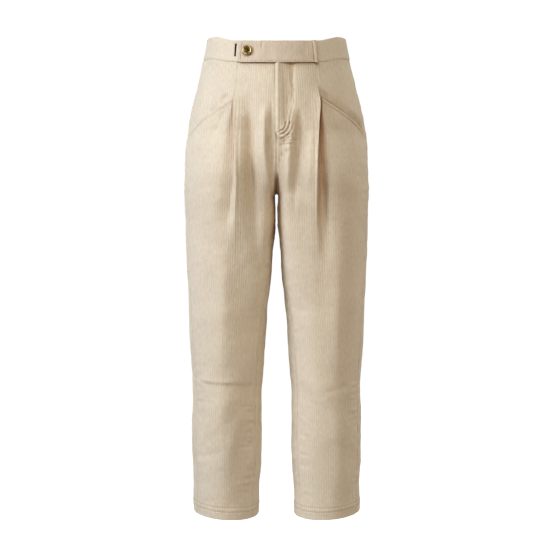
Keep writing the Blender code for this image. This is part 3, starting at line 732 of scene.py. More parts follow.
@dataclass
class Cloth:
    """The worn cloth of one face on one side of the garment."""

    side: Side
    face: FaceName
    thickness: float = 1.8
    hem_thickness: float = 2.9
    hem_height: float = 28.0
    hem_rows: tuple[float, float] = (24.0, 15.5)  # stitch rows over the hem's edge
    hem_bulge: float = 0.5
    hem_edge: float = 1.3
    lap_rise: float = 3.5
    lap_inner_x: float = 7.0
    lap_outer_x: float = 35.0
    lap_clear: float = 181.0
    lap_flat: float = 197.0
    seam_ditch: float = 0.9
    seam_ditch_run: float = 1.7
    waist_ditch: float = 0.9
    waist_ridge: float = 0.35
    recess: float = 8.0
    recess_top: float = 250.0
    recess_low: float = 345.0
    recess_half_width: float = 3.8
    allowance_ridge: float = 0.55
    allowance_at: float = 9.0
    allowance_run: float = 3.5
    allowance_level: float = 420.0
    allowance_grows: float = 160.0
    met_width: float = 20.0  # below the fork, the two legs touch this close to the centre plane
    met_run: float = 4.0

    WAVES = (Unevenness(5, 0.55, 85.0), Unevenness(9, 0.22, 26.0))
    WAVES_APART = 500.0  # sets the two sides' waves apart

    def __post_init__(self) -> None:
        """Takes the face's measures and its own folds and creases, with no sewing yet."""
        self.measure = FACES[self.face]
        self.sewing: list[Sewing | FoldedEdge] = []
        self.marks = [mark for mark in (*FOLDS, *CREASES) if self.owns(mark)]

    def owns(self, mark: Fold | Crease | Pucker) -> bool:
        """Whether a mark lies on this cloth."""
        return (mark.side, mark.face) == (self.side, self.face)

    def across(self, level: Array, x: Array) -> Array:
        """Cloth distance of a place x from the centre plane, on the front."""
        centre, half = FORM.ring(level)
        return self.measure.distance(level, np.arcsin(np.clip((x - centre) / half, -1, 1)))

    def pleat(self, level: Array, distance: Array) -> tuple[Array, Array]:
        """The pleat: a ridge, its pressed edge, the wall outside it and the trough at the wall's foot.

        Args:
            level: The points' levels.
            distance: Their cloth distances.

        Returns:
            The pleat's sideways lean and its push outwards.
        """
        cut = PLEAT_CUTS[self.side]
        at = {name: column(PLEATS[self.side], name, level) for name in Pleat._fields[1:]}
        edge = span(level, PLEAT_TOP, PLEAT_LOW, PLEAT_STARTS, PLEAT_FADES)
        widened = (cut.crisp - PLEAT_TOP_WIDTH) * ease((level - PLEAT_TOP) / PLEAT_WIDENS)
        width = at["width"] * (PLEAT_TOP_WIDTH + widened)
        broad = PLEAT_BROAD * at["depth"]
        narrow = (1 - PLEAT_BROAD) * at["depth"] + cut.channel * edge
        off = distance - at["inset"]
        inward = np.abs(off) / at["run"]
        inside = at["height"] * np.where(inward < 0.6, 1 - inward, np.clip(1.4 - inward, 0, None) ** 2 / 1.6)
        drop = at["height"] + broad + narrow
        wall = at["height"] - drop * (1 - np.cos(np.pi * np.clip(off / width, 0, 1))) / 2
        beyond = off - width
        run = CHANNEL_RUN + cut.run * ease((level - PLEAT_TOP) / CHANNEL_WIDENS)
        outside = -broad * bell(beyond, cut.outer_run) - narrow * np.exp(-((beyond / run) ** 3))
        push = np.where(off < 0, inside, np.where(off < width, wall, outside))
        push = push + edge * PLEAT_CREST * bump(off, CREST_INNER, CREST_OUTER)
        return at["lean"] * bell(off, PLEAT_LEAN_RUN), push

    def fly_rise(self, level: Array, x: Array) -> Array:
        """How far the left front stands out where it laps over the right one."""
        lapped = ease((self.lap_outer_x - x) / (self.lap_outer_x - self.lap_inner_x))
        return self.lap_rise * lapped * ease((self.lap_flat - level) / (self.lap_flat - self.lap_clear))

    def crotch_recess(self, level: Array, x: Array) -> Array:
        """How far the cloth lies back between the legs, just above the crotch and below it."""
        strength = span(level, self.recess_top, self.recess_low, 24, 40)
        return self.recess * strength * bump(x, self.recess_half_width, self.recess_half_width, 6.0)

    def seams(self, level: Array, to_side: Array, to_centre: Array, ahead: Array) -> Array:
        """The ditch at each seam, the ridge of the allowance beside it, and its puckers.

        Args:
            level: The points' levels.
            to_side: Their distances from the side seam.
            to_centre: Their distances from the centre seam or inseam.
            ahead: How squarely they face the front or the back, up to 1.

        Returns:
            The push outwards.
        """
        ridge = self.allowance_ridge * ease((level - self.allowance_level) / self.allowance_grows)
        push = np.zeros(level.shape)
        open_leg = ease((level - FORM.crotch - 4) / 24)
        for away, depth in ((to_side, 1.0), (to_centre, open_leg + (1 - open_leg) * ahead**3)):
            push = push - depth * self.seam_ditch * bell(away, self.seam_ditch_run)
            push = push + ridge * bell(away - self.allowance_at, self.allowance_run)
        for index, pucker in enumerate(PUCKERS):
            if self.owns(pucker):
                away = to_side if pucker.seam == "side" else to_centre
                wave = Unevenness(PUCKER_SEED + index, 1.0, pucker.pitch, PUCKER_WAVES)
                wave = wave.push(away * pucker.turn, level)
                rungs = np.sin(2 * np.pi * (level / LADDER_PITCH + LADDER_WANDER * wave))
                wave += pucker.ladder * (rungs - wave)
                fade = (away / pucker.reach) * np.exp(1 - away / pucker.reach)
                ends = span(level, pucker.top, pucker.low, PUCKER_ENDS, PUCKER_ENDS)
                push = push + pucker.height * ends * fade * wave
        return push

    def ends(self, level: Array) -> Array:
        """The hem's turned-up layer and its rounded edge, and the ditch of the waist seam.

        Args:
            level: The points' levels.

        Returns:
            The push outwards.
        """
        above = FORM.hem - level
        turned = ease((self.hem_rows[0] + 1.5 - above) / 2.5)
        waist = level - WAIST_SEAM
        waist = self.waist_ridge * bump(waist - 4.5, 2.2, 3.5) - self.waist_ditch * bell(waist, 1.5)
        return self.hem_bulge * turned - self.hem_edge * rounded(above, 1.5) + waist

    def point(
        self, level: Array, distance: Array, push: Array | float = 0.0, shaped: bool = True,
        ribs: bool = False,
    ) -> Array:
        """A point on the cloth's outer face.

        Args:
            level: The points' levels.
            distance: Their cloth distances.
            push: An extra push outwards.
            shaped: Whether the cloth has its folds, pleat, seams and sewing.
            ribs: Whether to add the ribs.

        Returns:
            The points in millimetres, with x, y and z last.
        """
        plain = distance
        if ribs:
            push = push + RIBS.push(plain) * (1 - RIBS.worn * ease((level - RIBS.worn_from) / RIBS.worn_run))
        if shaped and self.face is FRONT:
            lean, pleated = self.pleat(level, distance)
            distance = distance + lean
            push = push + pleated
        angle = self.measure.angle(level, distance)
        x, y, out_x, out_y = FORM.outline(level, angle)
        if shaped:
            to_side = np.abs(distance - self.measure.side_edge(level))
            to_centre = np.abs(distance - self.measure.centre_edge(level))
            away = ease(np.minimum(to_side, to_centre) / FOLD_EDGE_RUN)
            push = push + away * sum((mark.push(level, x) for mark in self.marks), np.zeros(x.shape))
            place = plain + self.WAVES_APART * self.side.value
            push = push + away * sum((wave.push(place, level) for wave in self.WAVES), 0)
            push = push + self.seams(level, to_side, to_centre, np.abs(out_y)) + self.ends(level)
            for row in self.sewing:
                push = push - row.groove(level, plain)
            if (self.side, self.face) == (LEFT, FRONT):
                push = push + self.fly_rise(level, x)
        ahead = y + out_y * push
        if shaped and self.face is FRONT:
            ahead = ahead + self.crotch_recess(level, x)
        met = ease((FORM.crotch + 4 - level) / 4) * (x < self.met_width) * bell(x, self.met_run)
        across = x + out_x * push * (1 - met)
        return np.stack([self.side.value * across, ahead, FORM.height(level, angle)], axis=-1)


@dataclass
class Patch:
    """Cloth points by level and distance, and the faces between them."""

    level: Array
    distance: Array
    faces: list[tuple[int, ...]]

    @classmethod
    def woven(cls, level: Array, distance: Array, side: Side, cells: Array | None = None) -> "Patch":
        """Joins a grid of points, with those that fall together made one.

        Args:
            level: Levels of the grid's points.
            distance: Their distances.
            side: The side of the garment, which sets the faces' direction.
            cells: Which cells of the grid are cloth, or None for all.

        Returns:
            The patch.
        """
        key = np.rint(level * 1000).astype(np.int64) * 10**7 + np.rint(distance * 1000).astype(np.int64)
        _, first, back = np.unique(key.ravel(), return_index=True, return_inverse=True)
        number = back.reshape(level.shape)
        quads = np.stack([number[:-1, :-1], number[1:, :-1], number[1:, 1:], number[:-1, 1:]], axis=-1)
        quads = quads.reshape(-1, 4) if cells is None else quads[cells]
        faces = []
        for quad in quads.tolist():
            corners = tuple(dict.fromkeys(quad))
            if len(corners) > 2:
                faces.append(corners if side is LEFT else corners[::-1])
        used = sorted({corner for face in faces for corner in face})
        place = {corner: index for index, corner in enumerate(used)}
        faces = [tuple(place[corner] for corner in face) for face in faces]
        return cls(level.ravel()[first][used], distance.ravel()[first][used], faces)

    @classmethod
    def square(cls, levels: Sequence[float], distances: Sequence[float], side: Side) -> "Patch":
        """A patch with the same distances at every level."""
        return cls.woven(*np.meshgrid(levels, distances, indexing="ij"), side)

    def rim(self) -> list[int]:
        """The points round the patch's edge, in the faces' direction.

        Returns:
            The points' numbers.
        """
        edges = {(a, b) for face in self.faces for a, b in zip(face, face[1:] + face[:1])}
        onward = {a: b for a, b in edges if (b, a) not in edges}
        start = min(onward)
        loop = [start]
        while onward[loop[-1]] != start:
            loop.append(onward[loop[-1]])
        return loop


def ribbon(levels: Array, distances: Array, reach: Callable[[Array], Edges]) -> Edges:
    """A grid between two long edges."""
    start, end = reach(levels)
    level = np.repeat(levels[:, None], len(distances), axis=1)
    return level, np.clip(distances[None, :], start[:, None], end[:, None])


def piece_of(name: str, points: Array, faces: list[tuple[int, ...]], finishes: Sequence[Material]) -> Piece:
    """Makes an object from points in millimetres.

    Args:
        name: The mesh's name and the object's.
        points: The points.
        faces: The faces, by the points' numbers.
        finishes: The materials.

    Returns:
        The new object, shaded smooth.
    """
    mesh = bpy.data.meshes.new(name)
    mesh.from_pydata((points * MM).tolist(), [], faces)
    for finish in finishes:
        mesh.materials.append(finish)
    mesh.shade_smooth()
    thing = bpy.data.objects.new(name, mesh)
    bpy.context.scene.collection.objects.link(thing)
    return thing


class Wall:
    """A closed wall of cloth between a fine outer patch and a coarser inner one."""

    SHARP = math.radians(70)

    def __init__(
        self, name: str, outer: Patch, outer_points: Array, inner: Patch, inner_points: Array
    ) -> None:
        """Takes both skins and sews their rims together.

        Args:
            name: The finished piece's name.
            outer: The outer skin.
            outer_points: Its points in millimetres.
            inner: The inner skin.
            inner_points: Its points in millimetres.
        """
        self.name = name
        self.points = np.concatenate([outer_points, inner_points])
        both = np.concatenate([outer.distance, inner.distance]), np.concatenate([outer.level, inner.level])
        self.uvs = np.stack(both, axis=-1)
        shift = len(outer_points)
        inside = [tuple(corner + shift for corner in face[::-1]) for face in inner.faces]
        edge = self.zipped(outer.rim(), [corner + shift for corner in inner.rim()])
        self.faces = outer.faces + edge + inside
        self.inside_from = len(outer.faces) + len(edge)

    @classmethod
    def hung(
        cls, name: str, outer: Patch, inner: Patch, point: PointOf, side: Side, thickness: Array | float
    ) -> "Wall":
        """A wall whose inner skin lies a thickness behind its outer surface.

        Args:
            name: The finished piece's name.
            outer: The outer skin.
            inner: The inner skin.
            point: The outer surface, by level and distance, with its ribs where ribs is true.
            side: The side of the garment.
            thickness: The wall's thickness at the inner skin's points.

        Returns:
            The wall.
        """
        ribbed = point(outer.level, outer.distance, ribs=True)
        normals = outward(point, inner.level, inner.distance, side)
        behind = point(inner.level, inner.distance) - thickness * normals
        return cls(name, outer, ribbed, inner, behind)

    def zipped(self, outer: list[int], inner: list[int]) -> list[tuple[int, ...]]:
        """Triangles between two loops, each across the shorter way.

        Args:
            outer: The outer loop's points.
            inner: The inner loop's points.

        Returns:
            The triangles.
        """
        points = self.points
        away = np.linalg.norm(points[inner] - points[outer[0]], axis=1)
        start = int(away.argmin())
        inner = inner[start:] + inner[:start]
        faces, i, j = [], 0, 0
        count_out, count_in = len(outer), len(inner)
        while i < count_out or j < count_in:
            a, b = outer[i % count_out], inner[j % count_in]
            next_a, next_b = outer[(i + 1) % count_out], inner[(j + 1) % count_in]
            by_outer = np.sum((points[next_a] - points[b]) ** 2)
            by_inner = np.sum((points[next_b] - points[a]) ** 2)
            if j >= count_in or (i < count_out and by_outer <= by_inner):
                faces.append((next_a, a, b))
                i += 1
            else:
                faces.append((a, b, next_b))
                j += 1
        return faces

    def build(self, finishes: Sequence[Material]) -> Piece:
        """Makes the object.

        Args:
            finishes: The right side's material and the wrong side's.

        Returns:
            The new object, with its cloth distances and levels as UVs, in metres.
        """
        thing = piece_of(f"{self.name}_cloth", self.points, self.faces, finishes)
        mesh = thing.data
        corners = np.zeros(len(mesh.loops), np.int32)
        mesh.loops.foreach_get("vertex_index", corners)
        layer = mesh.uv_layers.new(name="cloth")
        layer.data.foreach_set("uv", (self.uvs[corners] * MM).astype(np.float32).ravel())
        slots = np.zeros(len(mesh.polygons), np.int32)
        slots[self.inside_from :] = 1
        mesh.polygons.foreach_set("material_index", slots)
        mesh.set_sharp_from_angle(angle=self.SHARP)
        mesh.update()
        return thing


def dress(
    thing: Piece, node: str, flat: Flat | None = None, area: float | None = None,
    pieces: Sequence[Piece] = (), replaces: bool = False,
) -> Piece:
    """Attaches a finished piece to the root and hides the solid that it replaces.

    Args:
        thing: The piece.
        node: The solid whose slot it takes.
        flat: Width and length of the cut, in metres, if it is cloth. Not used.
        area: The cut's area in square metres where it isn't a rectangle. Not used.
        pieces: The pieces that lie on it. Not used.
        replaces: Whether it stands in for the solid.

    Returns:
        The piece.
    """
    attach(thing, "root")
    if replaces:
        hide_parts(node)
    log.info("%s: %d faces", thing.name, len(thing.data.polygons))
    return thing


@dataclass
class Stitches:
    """Threads of one seam: short rounded stitches, one after the other."""

    name: str
    length: float = 2.7
    gap: float = 0.6
    width: float = 0.8
    height: float = 0.5
    sink: float = 0.4  # how deep a stitch's ends go into the cloth, as a share of its height

    # A stitch's rings of four points: place along it, and share of its width
    RINGS = ((-0.36, 0.85), (0.0, 1.0), (0.36, 0.85))

    def __post_init__(self) -> None:
        """Starts with no thread."""
        self.points: list[Array] = []
        self.faces: list[tuple[int, ...]] = []

    def follow(self, point: PointOf, level: Array, across: Array, side: Side, rise: float) -> None:
        """Lays stitches over a surface.

        Args:
            point: The surface's point for a level and a place across.
            level: Levels of the route, close together.
            across: Its places across.
            side: The side of the garment.
            rise: How high the stitches lie over the surface.
        """
        normals = outward(point, level, across, side)
        route = point(level, across) + rise * normals
        along = np.concatenate([[0], np.cumsum(np.linalg.norm(np.diff(route, axis=0), axis=1))])
        pitch = self.length + self.gap
        for k in range(int(along[-1] / pitch)):
            middle = (k + 0.5) * pitch
            centre, ahead, behind, up = (
                np.array([np.interp(at, along, values) for values in table.T])
                for table, at in (
                    (route, middle), (route, middle + self.length / 2), (route, middle - self.length / 2),
                    (normals, middle),
                )
            )
            self.stitch(centre, ahead - behind, up / np.linalg.norm(up))

    def stitch(self, centre: Array, along: Array, up: Array) -> None:
        """Makes one stitch, with pointed ends that go into the cloth.

        Args:
            centre: Its middle.
            along: Its length and direction.
            up: The cloth's outward normal.
        """
        across = np.cross(along / np.linalg.norm(along), up)
        start = sum(len(points) for points in self.points)
        rows = [centre - along * 0.5 - up * self.height * self.sink]
        for place, share in self.RINGS:
            for turn in range(4):
                wide, tall = math.cos(turn * math.pi / 2), math.sin(turn * math.pi / 2)
                side = across * wide * share * self.width / 2
                rows.append(centre + along * place + side + up * (tall * share * self.height / 2))
        rows.append(centre + along * 0.5 - up * self.height * self.sink)
        self.points.append(np.array(rows))
        last = start + len(rows) - 1
        for turn in range(4):
            after = (turn + 1) % 4
            self.faces.append((start, start + 1 + turn, start + 1 + after))
            for ring in range(len(self.RINGS) - 1):
                low, high = start + 1 + 4 * ring, start + 5 + 4 * ring
                self.faces.append((low + turn, high + turn, high + after, low + after))
            self.faces.append((last, last - 4 + after, last - 4 + turn))

    def build(self, finish: Material, node: str, replaces: bool = False) -> Piece:
        """Makes one object of all the stitches."""
        thing = piece_of(self.name, np.concatenate(self.points), self.faces, [finish])
        return dress(thing, node, replaces=replaces)


class Spacing(NamedTuple):
    """Rows of a panel: down to this level, the rows are this far apart."""

    low: float
    step: float


def rows_of(top: float, spacings: Iterable[Spacing], must: Sequence[float] = ()) -> Array:
    """Levels of a panel's rows.

    Args:
        top: The first row's level.
        spacings: Stretches of evenly spaced rows, downwards.
        must: Levels that have to be rows, to which the nearest rows are moved.

    Returns:
        The rows' levels.
    """
    rows = [top]
    for spacing in spacings:
        count = max(1, round((spacing.low - rows[-1]) / spacing.step))
        rows += list(np.linspace(rows[-1], spacing.low, count + 1)[1:])
    rows = np.array(rows)
    for level in must:
        rows[np.abs(rows - level).argmin()] = level
    return rows


@dataclass
class Panel:
    """A front or back panel, from the waist seam to the hem."""

    cloth: Cloth
    finishes: Sequence[Material]
    thread: Material
    flat: Flat
    area: float
    thread_rise: float = 0.42

    INNER_COLUMNS = 4  # the inner skin has one column for this many
    INNER_ROWS = 2

    @property
    def name(self) -> str:
        """The panel's name, which is its solid's too."""
        return f"{self.cloth.face.value}_{self.cloth.side.word}"

    def rows(self) -> Array:
        """Levels of the fine rows, closer at the crotch, the knee and the hem."""
        spacings = (
            Spacing(44.4, 0.9), Spacing(50, 1.9), *self.upper_spacings(), Spacing(280, 3.6),
            Spacing(320, 2.2), Spacing(636, 4.8), Spacing(704, 2.4), Spacing(894, 3.6),
            Spacing(FORM.hem - 2, 1.3), Spacing(FORM.hem, 0.5),
        )
        return rows_of(WAIST_SEAM, spacings, self.fixed_rows())

    def upper_spacings(self) -> tuple[Spacing, ...]:
        """Closer rows above the crotch, where there are any."""
        return ()

    def fine_columns(self) -> Array:
        """Extra columns, where the cloth turns sharply."""
        return np.zeros(0)

    def fixed_rows(self) -> tuple[float, ...]:
        """Levels that must be rows."""
        return (FORM.crotch,)

    def reach(self, level: Array) -> Edges:
        """Distances of the panel's two long edges at each level."""
        raise NotImplementedError

    def grid(self, levels: Array, distances: Array) -> tuple[Array, Array, Array | None]:
        """Levels and distances of the grid's points, and its cells that are cloth, or None for all."""
        return *ribbon(levels, distances, self.reach), None

    def patch(self, levels: Array, distances: Array) -> Patch:
        """The grid as a patch."""
        level, distance, cells = self.grid(levels, np.unique(np.round(distances, 4)))
        return Patch.woven(level, distance, self.cloth.side, cells)

    def wall(self, level: Array, distance: Array) -> Array:
        """Thickness of the cloth: the hem is turned up, and the long edges are thinner.

        Args:
            level: The points' levels.
            distance: Their cloth distances.

        Returns:
            The thickness at each point.
        """
        cloth = self.cloth
        turned = ease((level - FORM.hem + cloth.hem_height) / 2)
        start, end = self.reach(level)
        edge = 0.4 + 0.6 * ease(np.minimum(distance - start, end - distance) / 4)
        return edge * (cloth.thickness + (cloth.hem_thickness - cloth.thickness) * turned)

    def edges(self) -> list[FoldedEdge]:
        """The panel's folded edges."""
        return []

    def stitch_rows(self) -> list[Sewing]:
        """The two rows of stitches over the hem.

        Returns:
            The rows.
        """
        rows = []
        for above in self.cloth.hem_rows:
            level = FORM.hem - above
            start, end = (float(edge[0]) for edge in self.reach(np.array([level])))
            rows.append(Sewing(np.array([level, level]), np.array([start, end]), 0.4, 1.4, 0.35))
        return rows

    def skin(self) -> Wall:
        """The panel's cloth as a closed wall.

        Returns:
            The wall.
        """
        levels = self.rows()
        start, end = self.reach(levels)
        distances = RIBS.columns_between(start.min(), end.max())
        outer = self.patch(levels, np.concatenate([distances, self.fine_columns()]))
        coarse = np.unique(np.concatenate([levels[:: self.INNER_ROWS], self.fixed_rows(), levels[-1:]]))
        inner = self.patch(coarse, np.concatenate([distances[:: self.INNER_COLUMNS], self.fine_columns()]))
        thickness = self.wall(inner.level, inner.distance)[:, None]
        return Wall.hung(self.name, outer, inner, self.cloth.point, self.cloth.side, thickness)

    def build(self) -> Piece:
        """Makes the panel with its sewing.

        Returns:
            The panel's object.
        """
        cloth, rows = self.cloth, self.stitch_rows()
        cloth.sewing = [*rows, *self.edges()]
        thing = self.skin().build(self.finishes)
        stitches = Stitches(f"stitching_{self.name}")
        for row in rows:
            index = np.arange(len(row.levels))
            turns = np.linspace(0, len(index) - 1, 40 * len(index))
            level, distance = np.interp(turns, index, row.levels), np.interp(turns, index, row.distances)
            stitches.follow(cloth.point, level, distance, cloth.side, self.thread_rise)
        sewn = stitches.build(self.thread, self.name)
        return dress(thing, self.name, self.flat, self.area, pieces=[sewn], replaces=True)


class FlyRow(NamedTuple):
    """A row of stitches beside the fly: its depth above its turn and in it, and its route by level and x."""

    upper: float
    lower: float
    route: tuple[tuple[float, float], ...]


@dataclass
class FrontPanel(Panel):
    """A front panel, with the pleat, the pocket mouth's edge and its half of the fly."""

    flat: Flat = (0.27, 0.90)
    area: float = 0.172
    mouth_top: float = 106.0
    mouth_fall: float = 78.0
    mouth_stitch: float = 6.0  # from the mouth's edge to its stitches
    mouth_slope: float = 0.82  # distance from the mouth's slanted edge for a millimetre of level
    rows_level: float = 290.0  # from here down, the rows no longer follow the mouth
    lap_width: float = 2.8
    lap_end: float = 175.0
    fly_turn: float = 156.0
    fly: tuple[FlyRow, ...] = (
        FlyRow(0.5, 1.3, (
            (44, 27), (75, 26), (93, 25), (106, 21.5), (120, 20), (127, 22), (148, 17.8), (163, 16.2),
            (169, 13.5), (172.5, 9.5), (173.5, 6),
        )),
        FlyRow(1.3, 1.5, (
            (44, 31), (64, 31), (80, 28.8), (93, 31.2), (106, 30.7), (118, 32), (131, 28.6), (148, 25.4),
            (160, 23.6), (169, 20.5), (176, 15.5), (179.5, 10.5), (180.5, 7),
        )),
        FlyRow(0.0, 1.1, ((160, 31.5), (168, 29.5), (176, 25), (183, 18.5), (187.5, 11), (189, 8))),
    )

    # The mouth's folded edge: how proud it stands, how far in, its run, and its corner's radius and drop
    LIP = {LEFT: (1.1, 2.0, 1.5, 1.3, 1.2), RIGHT: (0.1, 2.0, 1.5, 1.3, 0.1)}

    def fine_columns(self) -> Array:
        """Columns half as far apart at the pleat."""
        return RIBS.columns_between(-16, 8) + RIBS.step / 2

    def upper_spacings(self) -> tuple[Spacing, ...]:
        """Closer rows that follow the pocket mouth's edge, and at the fly's turn."""
        top = self.mouth_top
        mouth = Spacing(top, 4.0), Spacing(top + 2, 0.5), Spacing(top + 6.5, 1.1), Spacing(top + 14, 1.9)
        return *mouth, Spacing(148, 3.2), Spacing(204, 1.3 if self.cloth.side is LEFT else 2.4)

    def fixed_rows(self) -> tuple[float, ...]:
        """Levels that must be rows."""
        return (self.mouth_top, self.lap_end, self.cloth.lap_clear, FORM.crotch, FORM.crotch + 1.8)

    def reach(self, level: Array) -> Edges:
        """Distances of the centre edge, with the lap on the left, and of the side edge.

        Args:
            level: The levels to measure at.

        Returns:
            Both distances at each level.
        """
        measure, gap, lap = self.cloth.measure, SEAM_GAP / 2, 0.0
        if self.cloth.side is LEFT:
            clear = self.cloth.lap_clear
            lap = (self.lap_width + gap) * np.clip((clear - level) / (clear - self.lap_end), 0, 1)
        start = measure.centre_edge(level) - lap + np.where(level >= FORM.crotch, gap, 0)
        return start, measure.side_edge(level) - gap

    def mouth_end(self) -> float:
        """Distance at which the pocket mouth meets the side seam."""
        return float(self.cloth.measure.side_edge(np.array(self.mouth_top + self.mouth_fall)))

    def mouth(self, distance: Array) -> Array:
        """Level of the pocket mouth's edge at a distance."""
        return self.mouth_top + self.mouth_fall * np.clip(distance / self.mouth_end(), 0, 1)

    def grid(self, levels: Array, distances: Array) -> tuple[Array, Array, Array]:
        """The grid, without the hip's cloth above the pocket mouth.

        Args:
            levels: Levels of its rows at the grain line.
            distances: Distances of its columns.

        Returns:
            Levels and distances of the grid's points, and its cells that are cloth.
        """
        plain, distance = ribbon(levels, distances, self.reach)
        above = plain < self.mouth_top
        distance = np.where(above, np.minimum(distance, -SEAM_GAP / 2), distance)
        outside = ~above & (distance > 0)
        level, along = plain, np.repeat(distances[None, :], len(levels), axis=0)
        follows = np.clip((self.rows_level - plain) / (self.rows_level - self.mouth_top), 0, 1)
        for _ in range(3):
            level = np.where(outside, plain + follows * (self.mouth(distance) - self.mouth_top), plain)
            distance = np.where(outside, np.minimum(along, self.reach(level)[1]), distance)
        cells = np.ones((len(levels) - 1, len(distances) - 1), bool)
        cells[np.ix_(levels[:-1] < self.mouth_top, distances[:-1] > -RIBS.step / 2)] = False
        return level, distance, cells

    def edges(self) -> list[FoldedEdge]:
        """The pocket mouth's edge and, on the left, the fly's.

        Returns:
            The folded edges.
        """
        edges = [FoldedEdge(
            lambda level, distance: self.mouth_slope * (level - self.mouth(distance)),
            lambda level, distance: ease(distance / 5), *self.LIP[self.cloth.side],
        )]
        if self.cloth.side is LEFT:
            edges.append(FoldedEdge(
                lambda level, distance: distance - self.reach(level)[0],
                lambda level, distance: ease((self.lap_end + 3 - level) / 6), 1.6, 4.0, 2.4, 3.0, 2.4,
            ))
        return edges

    def stitch_rows(self) -> list[Sewing]:
        """The rows over the hem, below the pocket mouth and, on the left, beside the fly.

        Returns:
            The rows.
        """
        left = self.cloth.side is LEFT
        distance = np.linspace(0.03, 0.95, 12) * self.mouth_end()
        mouth = Sewing(self.mouth(distance) + self.mouth_stitch * 1.15, distance, 0.5 if left else 0.15)
        return [*super().stitch_rows(), mouth, *(self.fly_rows() if left else [])]

    def fly_rows(self) -> list[Sewing]:
        """The rows that run down beside the fly and turn in below it, each as a straight and a turn.

        Returns:
            The rows.
        """
        rows = []
        for upper, lower, route in self.fly:
            turns = np.linspace(0, len(route) - 1, 4 * len(route))
            level, across = (smooth(turns, np.arange(len(route)), places) for places in zip(*route))
            split = int(np.searchsorted(level, self.fly_turn))
            distance = self.cloth.across(level, across)
            if upper:
                rows.append(Sewing(level[: split + 1], distance[: split + 1], upper, ridge=0.25 * upper))
            rows.append(Sewing(level[split:], distance[split:], lower, ridge=0.75 * lower))
        return rows


@dataclass
class BackPanel(Panel):
    """A back panel, from the side seam to the centre back."""

    flat: Flat = (0.345, 0.90)
    area: float = 0.25

    def reach(self, level: Array) -> Edges:
        """Distances of the side edge and of the centre edge."""
        measure, gap = self.cloth.measure, SEAM_GAP / 2
        end = measure.centre_edge(level) - np.where(level >= FORM.crotch, gap, 0)
        return measure.side_edge(level) + gap, end


class Dimple(NamedTuple):
    """A dimple over the pocket mouth's edge."""

    share: float  # its place across the hip piece
    rise: float  # how far over the edge it lies
    run: float
    depth: float


